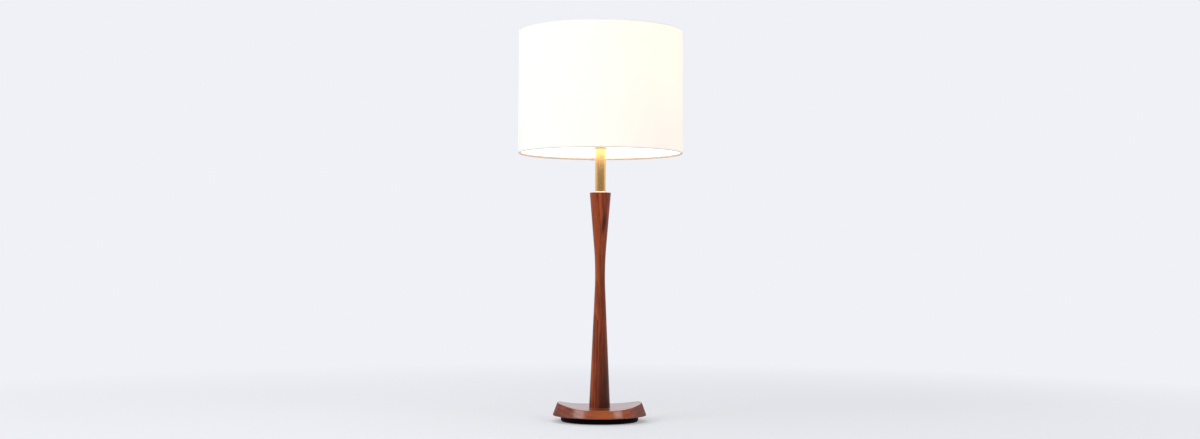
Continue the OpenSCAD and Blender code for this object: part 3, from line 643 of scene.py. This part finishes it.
def base_section(angle):
    """The base's section at an angle from X, from its underside to the stem's seat."""
    rim_top = rim_height(angle)
    corner = (side_radius(rim_top) - RIM_ROUND, rim_top - RIM_ROUND)
    lower = (base_radius - LOWER_ROUND, LOWER_ROUND)
    points = [(UNDERSIDE_HOLE, 0)]
    points += arc(lower, LOWER_ROUND, -90, SIDE_FACES, ROUND_STEPS)
    rim = arc(corner, RIM_ROUND, SIDE_FACES, 90, ROUND_STEPS)
    first, last = points[-1], rim[0]
    for i in range(1, SIDE_RINGS):
        part = i / SIDE_RINGS
        points.append((first[0] + (last[0] - first[0]) * part,
                       first[1] + (last[1] - first[1]) * part))
    points += rim
    inner = foot_radius + SEAT_GAP
    for i in range(1, TOP_RINGS + 1):
        radius = corner[0] + (inner - corner[0]) * i / TOP_RINGS
        points.append((radius, saddle_height(radius * math.cos(angle))))
    seat = foot_z - base_bottom
    return points + [(inner, seat), (ROD_HOLE, seat)]


def make_base():
    """Spins the section that faces Y, then moves every vertex to its own section."""
    outline = [(r, base_bottom + h) for r, h in base_section(math.pi / 2)]
    bm = bmesh.new()
    layer = bm.verts.layers.int.new("place")
    ring, strip = draw_strip(bm, outline)
    for i, vert in enumerate(ring):
        vert[layer] = i
    spin(bm, ring, strip, BASE_STEPS)
    sections = {}
    for vert in bm.verts:
        angle = math.atan2(vert.co.y, vert.co.x)
        key = round(angle, 5)
        if key not in sections:
            sections[key] = base_section(angle)
        radius, height = sections[key][vert[layer]]
        vert.co = (radius * math.cos(angle), radius * math.sin(angle), base_bottom + height)
    bmesh.ops.holes_fill(bm, edges=[e for e in bm.edges if e.is_boundary])
    bmesh.ops.recalc_face_normals(bm, faces=bm.faces)
    return bm


finish_piece("base_shaped", make_base(), base_walnut, "stand", "walnut", "wood_base",
             crease=BASE_CREASE)

# %% [markdown]
# The tube was polished while it turned on a lathe, so its scratches are fine rings. They
# spread a reflection up and down but hardly sideways, and that is why the glow of the shade
# runs down the tube in a soft gradient while its pale edges stay crisp. The rings are noise
# stretched round the tube. It drives both the roughness and a very shallow bump: colour alone
# would look printed on. The harp and the inner fittings are plainer brass, a little darker where
# hands don't polish them.

# %% Brass
TURNED = (60, 60, 2600)         # scales of the scratches
ALL_ROUND = (900, 900, 900)
SPOT_SCALE = (45, 45, 45)
SPOTS = (0.40, 0.72)            # the pattern's range over which a tarnished spot darkens
TURNED_UNEVEN = 0.02            # how far the scratches move the roughness
BRUSHED_UNEVEN = 0.07


def brass(name, color, roughness, brush, depth, tarnish, turned=0.0):
    """Brushed brass. brush scales the scratches and depth is their height in metres, tarnish is
    how far spots darken, and turned spreads the shine along Z, across a lathe's rings."""
    material, shader = start_material(name, Metallic=1.0, Roughness=roughness,
                                      Anisotropic=turned, Anisotropic_Rotation=0.25)
    if turned:
        around = add(material, "Tangent", {"direction_type": "RADIAL", "axis": "Z"})
        join(around.outputs[0], shader.inputs["Tangent"])
    scratches = noise(placed(material, brush), 4.0, 0.6)
    spots = noise(placed(material, SPOT_SCALE), 4.0, 0.6)
    darker = tuple(c * (1 - tarnish) for c in color)
    shade = spread(spots, 0.0, 1.0, *SPOTS)
    join(mix_color(shade, color, darker), shader.inputs["Base Color"])
    uneven = TURNED_UNEVEN if turned else BRUSHED_UNEVEN
    join(spread(scratches, roughness - uneven, roughness + 1.3 * uneven),
         shader.inputs["Roughness"])
    bump(shader, scratches, depth, strength=0.35)
    return material


satin_brass = brass("satin_brass", (0.78, 0.500, 0.200), 0.215, TURNED, 0.000005, 0.09, 0.60)
bright_brass = brass("bright_brass", (0.88, 0.74, 0.48), 0.30, ALL_ROUND, 0.00001, 0.04)
harp_brass = brass("harp_brass", (0.72, 0.52, 0.25), 0.30, ALL_ROUND, 0.00002, 0.25)
shell_brass = brass("shell_brass", (0.80, 0.60, 0.30), 0.24, ALL_ROUND, 0.00001, 0.16)
contact_brass = brass("contact_brass", (0.82, 0.66, 0.36), 0.28, ALL_ROUND, 0.00001, 0.10)
spider_brass = brass("spider_brass", (0.74, 0.56, 0.29), 0.32, ALL_ROUND, 0.00002, 0.18)
print("brass: one turned finish and five plainer ones")

# %% [markdown]
# The plain metals and plastics share one recipe: a base colour that drifts a little, a
# roughness that is never quite even, and a fine grain in the surface. What changes from one to
# the next is only how strong each is. Painted iron has an orange-peel skin, moulded plastic has
# a finer one, and felt is nearly all grain.

# %% Plain finishes
DRIFT_SCALE = (30, 30, 30)
PLAIN_UNEVEN = 0.08             # how far the grain moves the roughness, either way


def plain(name, color, roughness, grain, depth, drift=0.12, metallic=0.0, **sockets):
    """An even finish with a fine grain. grain is its size and depth its height, in metres, and
    drift is how far the colour wanders."""
    material, shader = start_material(name, Metallic=metallic, Roughness=roughness, **sockets)
    cloud = noise(placed(material, DRIFT_SCALE))
    fine = noise(placed(material, (1 / grain,) * 3))
    low = tuple(c * (1 - drift) for c in color)
    high = tuple(min(1.0, c * (1 + drift)) for c in color)
    join(mix_color(cloud, low, high), shader.inputs["Base Color"])
    join(spread(fine, max(0.05, roughness - PLAIN_UNEVEN), min(1, roughness + PLAIN_UNEVEN)),
         shader.inputs["Roughness"])
    bump(shader, fine, depth, strength=0.5)
    return material


black_iron = plain("black_iron", (0.003, 0.003, 0.0035), 0.70, 0.0012, 0.00008,
                   Specular_IOR_Level=0.06)
felt = plain("felt", (0.020, 0.020, 0.023), 0.95, 0.0004, 0.00030, 0.35, Sheen_Weight=0.4)
zinc = plain("zinc_plate", (0.56, 0.56, 0.54), 0.30, 0.0006, 0.00002, 0.10, 1.0)
rod_steel = plain("rod_steel", (0.46, 0.45, 0.42), 0.36, 0.0005, 0.00003, 0.15, 1.0)
ring_paint = plain("ring_paint", (0.82, 0.82, 0.80), 0.45, 0.0010, 0.00005)
black_plastic = plain("black_plastic", (0.018, 0.018, 0.018), 0.48, 0.0006, 0.00004)
phenolic = plain("phenolic", (0.030, 0.021, 0.017), 0.30, 0.0008, 0.00003, 0.25)
knob_plastic = plain("knob_plastic", (0.016, 0.013, 0.012), 0.26, 0.0007, 0.00002)
liner_card = plain("liner_card", (0.42, 0.33, 0.20), 0.85, 0.0005, 0.00008, 0.20)
cap_aluminium = plain("cap_aluminium", (0.72, 0.72, 0.71), 0.28, 0.0006, 0.00002, 0.08, 1.0)
black_glass = plain("black_glass", (0.016, 0.013, 0.016), 0.12, 0.0010, 0.00001)
solder = plain("tip_solder", (0.58, 0.58, 0.56), 0.34, 0.0004, 0.00004, 0.15, 1.0)
tungsten = plain("filament_wire", (0.40, 0.38, 0.35), 0.35, 0.0004, 0.00002, 0.10, 1.0)
print("plain finishes: thirteen from one recipe")

# %% [markdown]
# The shade is linen stretched round a stiff white lining and rolled over a wire ring at each
# edge. It could be one plain cylinder, but then the lit picture would lose the only line that
# draws the shade's edge: where the cloth is rolled, three layers lie over a wire and the light
# doesn't come through. So the cloth is swept with its rolls, and its own UV map, in metres,
# tells the material how far along the cloth each point is.

# %% Sweep the cloth
CLOTH_STEPS = 256
ROLL_STEPS = 12
WALL_RINGS = 40
CLOTH_THICKNESS = 0.7 * MM
CLOTH_CREASE = math.radians(60)
ROLL_ANGLE = 235
SEAM_LAP = 12 * MM              # how far the cloth's end laps over its beginning
LAP_RISE = 6 * MM               # length over which the end climbs onto the beginning
LAP_LIFT = 0.9 * MM
SEAM_ANGLE = math.pi / 2        # the seam is at the back of the lamp

linen_low, linen_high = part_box("shade_linen")
ring_low, ring_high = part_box("shade_bottom_ring")
shade_radius = linen_high.x
ring_height = (ring_low.z + ring_high.z) / 2
roll_radius = ring_height - linen_low.z
lower_ring = (shade_radius - roll_radius, linen_low.z + roll_radius)
upper_ring = (shade_radius - roll_radius, linen_high.z - roll_radius)
roll_length = math.radians(ROLL_ANGLE) * roll_radius
wall_length = upper_ring[1] - lower_ring[1]
cloth_length = wall_length + 2 * roll_length
print(f"cloth: {cloth_length / MM:.0f} mm from edge to edge")


def cloth_outline(lift=0.0):
    """The cloth from its lower roll, up the wall, to its upper roll, raised by a lift."""
    radius = roll_radius + lift
    wall = [(shade_radius + lift, lower_ring[1] + wall_length * i / WALL_RINGS)
            for i in range(1, WALL_RINGS)]
    return (arc(lower_ring, radius, -ROLL_ANGLE, 0, ROLL_STEPS) + wall
            + arc(upper_ring, radius, 0, ROLL_ANGLE, ROLL_STEPS))


def sweep_cloth():
    """Sweeps the outline past a full turn, so that the last of the cloth laps the first."""
    outline = cloth_outline()
    turn = math.tau + SEAM_LAP / shade_radius
    bm = bmesh.new()
    along = bm.verts.layers.float.new("along")
    around = bm.verts.layers.float.new("around")
    uv = bm.loops.layers.uv.new("cloth")
    verts, edges = draw_strip(bm, outline)
    lengths = [0.0]
    for a, b in zip(outline, outline[1:]):
        lengths.append(lengths[-1] + math.dist(a, b))
    spin(bm, verts, edges, CLOTH_STEPS, turn)
    climb = LAP_RISE / shade_radius
    for i, vert in enumerate(bm.verts):
        step, place = divmod(i, len(outline))
        angle = turn * step / CLOTH_STEPS
        part = min(1, max(0, (angle - math.tau + climb) / climb))
        radius, height = cloth_outline(LAP_LIFT * part * part * (3 - 2 * part))[place]
        vert.co = (radius * math.cos(angle + SEAM_ANGLE),
                   radius * math.sin(angle + SEAM_ANGLE), height)
        vert[along] = lengths[place]
        vert[around] = angle * shade_radius
    for face in bm.faces:
        for loop in face.loops:
            loop[uv].uv = (loop.vert[around], loop.vert[along])
    bmesh.ops.recalc_face_normals(bm, faces=bm.faces)
    return bm


# %% [markdown]
# Linen is a plain weave of uneven yarns. Two sets of waves cross at a millimetre, and long
# thin noise in each direction makes the slubs, the thicker places that give linen its life. A
# lit shade is seen by the light that comes through it, so the same slubs also dim the glow. The
# glow itself is emission in the cloth, cool on the left, warm on the right and rosy low down
# there, and it fades where the cloth is rolled round the rings.

# %% The light through the cloth
HEM_DIM = 0.20                  # share of the light that the rolls let through
SLUB_LIGHT = 0.91               # and that a slub lets through
ROLL_FADE = 2.2 * MM            # how far into a roll the glow fades
WALL_FADE = 1.4 * MM            # and how far up the wall
GLOW_LEFT = (0.76, 0.77, 0.68)
GLOW_RIGHT = (1.32, 1.20, 0.81)
GLOW_ROSE = (1.30, 0.93, 0.72)
GLOW_TURN = 0.15                # how far out along X each side's colour is full, in metres
ROSE_CENTRE = (0.130, -0.140, 0.620)
ROSE_SIZE = (0.17, 0.17, 0.17)


def linen_glow(material, along, thick):
    """The colour of the light that comes through, dimmer in the slubs and the rolls."""
    from_low = spread(along, 0.0, 1.0, roll_length - ROLL_FADE, roll_length + WALL_FADE)
    wall_end = roll_length + wall_length
    from_high = spread(along, 1.0, 0.0, wall_end - WALL_FADE, wall_end + ROLL_FADE)
    open_wall = combine("MULTIPLY", from_low, from_high)
    side = spread(axes(placed(material))["X"], 0.0, 1.0, -GLOW_TURN, GLOW_TURN)
    glow = mix_color(side, GLOW_LEFT, GLOW_RIGHT)
    glow = mix_color(soft_spot(material, ROSE_CENTRE, ROSE_SIZE, edge=0.0), glow, GLOW_ROSE)
    return dimmed(glow, combine("MULTIPLY", spread(thick, 1.0, SLUB_LIGHT),
                                spread(open_wall, HEM_DIM, 1.0)))


# %% Linen
YARN = 1.0 * MM
WAVE_PERIOD = 0.314             # period of a wave pattern at a scale of 1, in metres
WEAVE_DEPTH = 0.00015
SLUB_SCALES = [(30, 1400, 1), (1400, 24, 1)]
SLUBS = (0.45, 0.80)            # the pattern's range over which a yarn thickens
SLUB_TONE = 0.90                # share of the colour that a slub keeps
ROLL_SHADE_SHARE = (0.56, 0.62)       # share of a roll, from the cloth's edge, where its painted shade ends
LINEN_COLOR = (0.80, 0.785, 0.75)
# painted shade: a tan inside each roll, where the thick rolled cloth lets less light through
ROLL_SHADE_COLOR = (0.62, 0.45, 0.34)
GLOW_STRENGTH = 0.36


def linen():
    """Lit linen on the piece's own UV map."""
    material, shader = start_material("lit_linen", Roughness=0.9, Sheen_Weight=0.15,
                                      Emission_Strength=GLOW_STRENGTH)
    flat = placed(material, kind="UV")
    along = axes(flat)["Y"]
    waves = []
    for direction in ("X", "Y"):
        wave = add(material, "TexWave", {"wave_type": "BANDS", "bands_direction": direction},
                   Scale=WAVE_PERIOD / YARN, Distortion=1.2, Detail=2.0, Detail_Scale=0.8)
        join(flat, wave.inputs["Vector"])
        waves.append(wave.outputs["Fac"])
    slubs = [noise(placed(material, scale, kind="UV"), 2.0) for scale in SLUB_SCALES]
    thick = spread(combine("MAXIMUM", *slubs), 0.0, 1.0, *SLUBS)
    join(linen_glow(material, along, thick), shader.inputs["Emission Color"])

    color = mix_color(thick, LINEN_COLOR, tuple(c * SLUB_TONE for c in LINEN_COLOR))
    # the insides of the rolls get the painted shade's tan
    edge, end = (roll_length * share for share in ROLL_SHADE_SHARE)
    roll_shade = combine("ADD", spread(along, 1.0, 0.0, edge, end),
                   spread(along, 0.0, 1.0, cloth_length - end, cloth_length - edge))
    join(mix_color(roll_shade, color, ROLL_SHADE_COLOR), shader.inputs["Base Color"])
    relief = combine("ADD", combine("MAXIMUM", *waves), thick)
    bump(shader, relief, WEAVE_DEPTH, strength=0.5)
    return material


cloth = finish_piece("shade_cloth", sweep_cloth(), linen(), "shade", "linen", "shade_linen",
                     crease=CLOTH_CREASE)
wall = cloth.modifiers.new("thickness", "SOLIDIFY")
wall.thickness = CLOTH_THICKNESS
wall.offset = -1

# %% [markdown]
# The lining is what the eye meets from below: smooth, stiff and brightly lit. It stays the
# frame's own piece. It only needs a finish that glows more than the linen does: most of all
# beside the lower hem, whose glow the brass tube mirrors, and then level with the bulb.

# %% Lining
BULB_HEIGHT = 0.75
LINING_STRENGTH = 1.7           # strength of the glow beside the lower hem
LINING_HIGH = 0.10              # share of it that remains away from the bulb
LINING_BULB = 0.17              # share of it level with the bulb
HEM_GLOW = (0.645, 0.735)       # heights between which the hem's glow fades
BULB_GLOW = 0.10                # how far above and below the bulb its glow reaches
LINING_COLORS = [(0.76, 0.75, 0.73), (0.82, 0.81, 0.79)]
LINING_TINTS = [(1.0, 0.92, 0.90), (1.0, 0.97, 0.93)]   # away from the bulb, and beside it
LINING_CLOUDS = (12, 12, 12)
LINING_GRAIN = (700, 700, 700)

lining, lining_shader = start_material("lit_lining", Roughness=0.55,
                                       Emission_Strength=LINING_STRENGTH)
height = axes(placed(lining))["Z"]
hem_glow = spread(height, 1.0, LINING_HIGH, *HEM_GLOW)
from_bulb = combine("ABSOLUTE", combine("SUBTRACT", height, BULB_HEIGHT))
bulb_glow = spread(from_bulb, LINING_BULB, LINING_HIGH, 0.0, BULB_GLOW)
beside_bulb = soft_spot(lining, (0, 0, BULB_HEIGHT), (0.30, 0.30, 0.22), edge=0.1)
glow_tint = mix_color(beside_bulb, *LINING_TINTS)
join(dimmed(glow_tint, combine("MAXIMUM", hem_glow, bulb_glow)),
     lining_shader.inputs["Emission Color"])
uneven_white = noise(placed(lining, LINING_CLOUDS), 2.0)
join(mix_color(uneven_white, *LINING_COLORS), lining_shader.inputs["Base Color"])
bump(lining_shader, noise(placed(lining, LINING_GRAIN), 2.0), 0.00002, strength=0.4)
print(f"lining: {LINING_BULB * LINING_STRENGTH:.2f} of white level with the bulb")

# %% [markdown]
# The bulb is frosted, so it shows no filament, only a glow that is whiter round it and yellower
# towards the neck. Glass that scatters the light would do it too, but slowly and with noise, so
# the glass emits light of its own instead. The small glass mount inside is clear.

# %% Bulb glass
frosted, frosted_shader = start_material("frosted_glass", Roughness=0.35,
                                         Emission_Strength=2.2)
near_filament = soft_spot(frosted, (0, 0, BULB_HEIGHT), (0.034, 0.034, 0.045), edge=0.0)
join(mix_color(near_filament, (1.0, 0.78, 0.48), (1.0, 0.94, 0.78)),
     frosted_shader.inputs["Emission Color"])
# painted light: the glass's own colour is also paler round the filament, following its glow
join(ramp(near_filament, (0.0, (0.86, 0.83, 0.78)), (1.0, (0.95, 0.93, 0.88))),
     frosted_shader.inputs["Base Color"])
clear, clear_shader = start_material("clear_glass", Roughness=0.05, Transmission_Weight=1.0,
                                     IOR=1.5)
join(ramp(noise(placed(clear, (60, 60, 60))), (0, (0.95, 0.96, 0.96)), (1, (1, 1, 1))),
     clear_shader.inputs["Base Color"])
print("glass: frosted for the bulb and clear for its mount")

# %% [markdown]
# The small metal pieces stay as the frame has them: their shape is right, and only their
# finish is missing. Their meshes are loose triangles, which would show as facets, so each gets
# a Weld modifier and an Edge Split. The first joins the triangles, and the second keeps the
# real edges crisp. The mesh itself isn't touched.

# %% Finish the frame's own pieces
FINISHES = {
    felt: ["felt_pad"],
    black_iron: ["weight_plate"],
    zinc: ["plate_screws", "rod_washer", "rod_lock_washer", "rod_nut", "cap_screw"],
    black_plastic: ["cord_grommet"],
    rod_steel: ["lamp_rod"],
    satin_brass: ["brass_tube", "tube_cap"],
    bright_brass: ["stem_bead"],
    harp_brass: ["harp_saddle", "harp_wire", "ferrule_left", "ferrule_right"],
    spider_brass: ["harp_stud", "spider_arms", "spider_hub"],
    shell_brass: ["socket_cap", "socket_shell", "finial"],
    liner_card: ["socket_liner"],
    phenolic: ["socket_body"],
    contact_brass: ["screw_shell", "centre_contact", "terminal_screws", "switch_shaft"],
    knob_plastic: ["switch_knob"],
    frosted: ["bulb_glass"],
    cap_aluminium: ["bulb_cap"],
    black_glass: ["bulb_insulator"],
    solder: ["bulb_tip"],
    clear: ["bulb_stem"],
    tungsten: ["bulb_filament"],
    lining: ["shade_lining"],
    ring_paint: ["shade_top_ring", "shade_bottom_ring"],
}
NODE_WELD = 2e-6

for material, names in FINISHES.items():
    for name in names:
        node = nodes[name]
        node.data.materials.clear()
        node.data.materials.append(material)
        node.data.polygons.foreach_set("use_smooth", [True] * len(node.data.polygons))
        weld = node.modifiers.new("weld", "WELD")
        weld.merge_threshold = NODE_WELD
        split = node.modifiers.new("edges", "EDGE_SPLIT")
        split.split_angle = CREASE
print("finished", sum(len(names) for names in FINISHES.values()), "pieces of the frame")

# %% [markdown]
# The room is a pale floor, a pale world and four soft lamps. The floor could be a bent
# backdrop, but a flat disc has no fold to show in the other views. Near the lamp it is mostly a
# real surface, which takes the lamp's shadow, and further out it fades to a plain glow of the
# room's colour, which leaves no horizon. Light Path shows that glow to the camera, to mirrors
# and to glass alone, so that it doesn't light the lamp from below.

# %% Floor
BACKGROUND = (0.865, 0.880, 0.925)
FLOOR_COLOR = (0.80, 0.805, 0.82)
FLOOR_RADIUS = 9
FLOOR_SIDES = 96
FADE_FROM = 0.35                # distance from the lamp at which the floor starts to pale
FADE_TO = 2.2
FADE_LEAST = 0.30               # share of the glow that is there already beside the lamp

floor_bm = bmesh.new()
bmesh.ops.create_circle(floor_bm, cap_ends=True, segments=FLOOR_SIDES, radius=FLOOR_RADIUS)
floor_mesh = bpy.data.meshes.new("floor")
floor_bm.to_mesh(floor_mesh)
floor_bm.free()
floor = new_object("floor", floor_mesh)
floor_material, floor_shader = start_material("floor", Base_Color=(*FLOOR_COLOR, 1),
                                              Roughness=0.7, Specular_IOR_Level=0.2)
glow = add(floor_material, "Emission", Strength=1.0, Color=(*BACKGROUND, 1))
rays = add(floor_material, "LightPath").outputs
shown = combine("MAXIMUM", rays["Is Camera Ray"], rays["Is Glossy Ray"])
shown = combine("MAXIMUM", shown, rays["Is Transmission Ray"])
fade = spread(length_of(placed(floor_material)), FADE_LEAST, 1.0, FADE_FROM, FADE_TO)
blend = add(floor_material, "MixShader")
join(combine("MULTIPLY", fade, shown), blend.inputs[0])
join(floor_shader.outputs[0], blend.inputs[1])
join(glow.outputs[0], blend.inputs[2])
join(blend.outputs[0],
     floor_material.node_tree.nodes["Material Output"].inputs["Surface"])
floor_mesh.materials.append(floor_material)
print("floor:", 2 * FLOOR_RADIUS, "m across")

# %% [markdown]
# The world is the room round the lamp. The camera sees a plain pale wall, but the lamp gets less
# light than that. What the brass mirrors is pale beside the lamp, and warmer and darker behind
# the camera, which gives the tube its pale edges and its deep golden middle. A photograph of a
# room could do this, but a few mixed numbers are easier to tune.

# %% World
ROOM_DIFFUSE = 0.60             # the room's strength where it lights the lamp
ROOM_WARM = (0.93, 0.73, 0.56)  # the room's colour behind the camera
ROOM_FRONT = 0.29               # how bright the room is there, beside the wall's 1
ROOM_HIGH = 0.40                # how much of that is left high up
ROOM_BEHIND = (-0.40, -0.05)    # the direction's Y from behind the camera to beside the lamp
ROOM_RISE = (0.28, 0.55)        # and its Z from the walls to high up

world = bpy.data.worlds.new("room")
bpy.context.scene.world = world
world.use_nodes = True
back = world.node_tree.nodes["Background"]
direction = axes(add(world, "TexCoord").outputs["Generated"])
beside = spread(direction["Y"], 0.0, 1.0, *ROOM_BEHIND)
rise = spread(direction["Z"], 1.0, ROOM_HIGH, *ROOM_RISE)
mirrored = combine("MULTIPLY", mix_number(beside, ROOM_FRONT, 1.0), rise)
rays = add(world, "LightPath").outputs
strength = mix_number(rays["Is Glossy Ray"], ROOM_DIFFUSE, mirrored)
strength = mix_number(rays["Is Transmission Ray"], strength, 1.0)
strength = mix_number(rays["Is Camera Ray"], strength, 1.0)
join(strength, back.inputs["Strength"])
wall_share = mix_number(rays["Is Glossy Ray"], 1.0, beside)
join(mix_color(wall_share, ROOM_WARM, BACKGROUND), back.inputs["Color"])
print("world: lights the lamp at", ROOM_DIFFUSE, "of the wall that is seen")

# %% [markdown]
# The stem is lighter on its left, so the main softbox stands on the left, and a weaker one on
# the right puts the second pale reflection on the base's side. One hangs above, and one stands
# behind, so that the back of the lamp is as well lit as its front. Square area lamps make soft
# shadows without any tuning. A small warm lamp sits where the bulb is and lights the top of the
# neck.

# %% Lamps
LAMP_AIM = Vector((0, 0, 0.35))
SOFTBOXES = [                   # name, place, size, power and colour
    ("key", (-2.33, -1.26, 1.95), 1.45, 33, (0.93, 0.97, 1.0)),
    ("fill", (1.97, -1.76, 1.85), 0.9, 14, (0.88, 0.94, 1.0)),
    ("top", (0.0, -0.6, 3.0), 2.2, 14, (1.0, 0.99, 0.98)),
    ("behind", (-0.9, 2.7, 1.7), 1.6, 12, (1.0, 0.99, 0.97)),
]
BULB_POWER = 0.4
BULB_WARM = (1.0, 0.93, 0.82)


def new_lamp(name, kind, place, power, color):
    """A lamp of a kind at a place, and its light."""
    light = bpy.data.lights.new(name, kind)
    light.energy = power
    light.color = color
    lamp = new_object(name, light)
    lamp.location = place
    return lamp, light


for name, place, size, power, color in SOFTBOXES:
    lamp, light = new_lamp(name, "AREA", place, power, color)
    light.size = size
    lamp.rotation_euler = (LAMP_AIM - Vector(place)).to_track_quat("-Z", "Y").to_euler()

_, bulb_light = new_lamp("bulb_light", "POINT", (0, 0, BULB_HEIGHT), BULB_POWER, BULB_WARM)
bulb_light.shadow_soft_size = 0.03
nodes["bulb_glass"].visible_shadow = False      # the lamp inside shines out through the glass
print("lamps:", len(SOFTBOXES), "softboxes and the bulb")

# %% [markdown]
# The Standard view shows a colour about as it is written, where the default one would grey it.

# %% Colour
bpy.context.scene.view_settings.view_transform = "Standard"
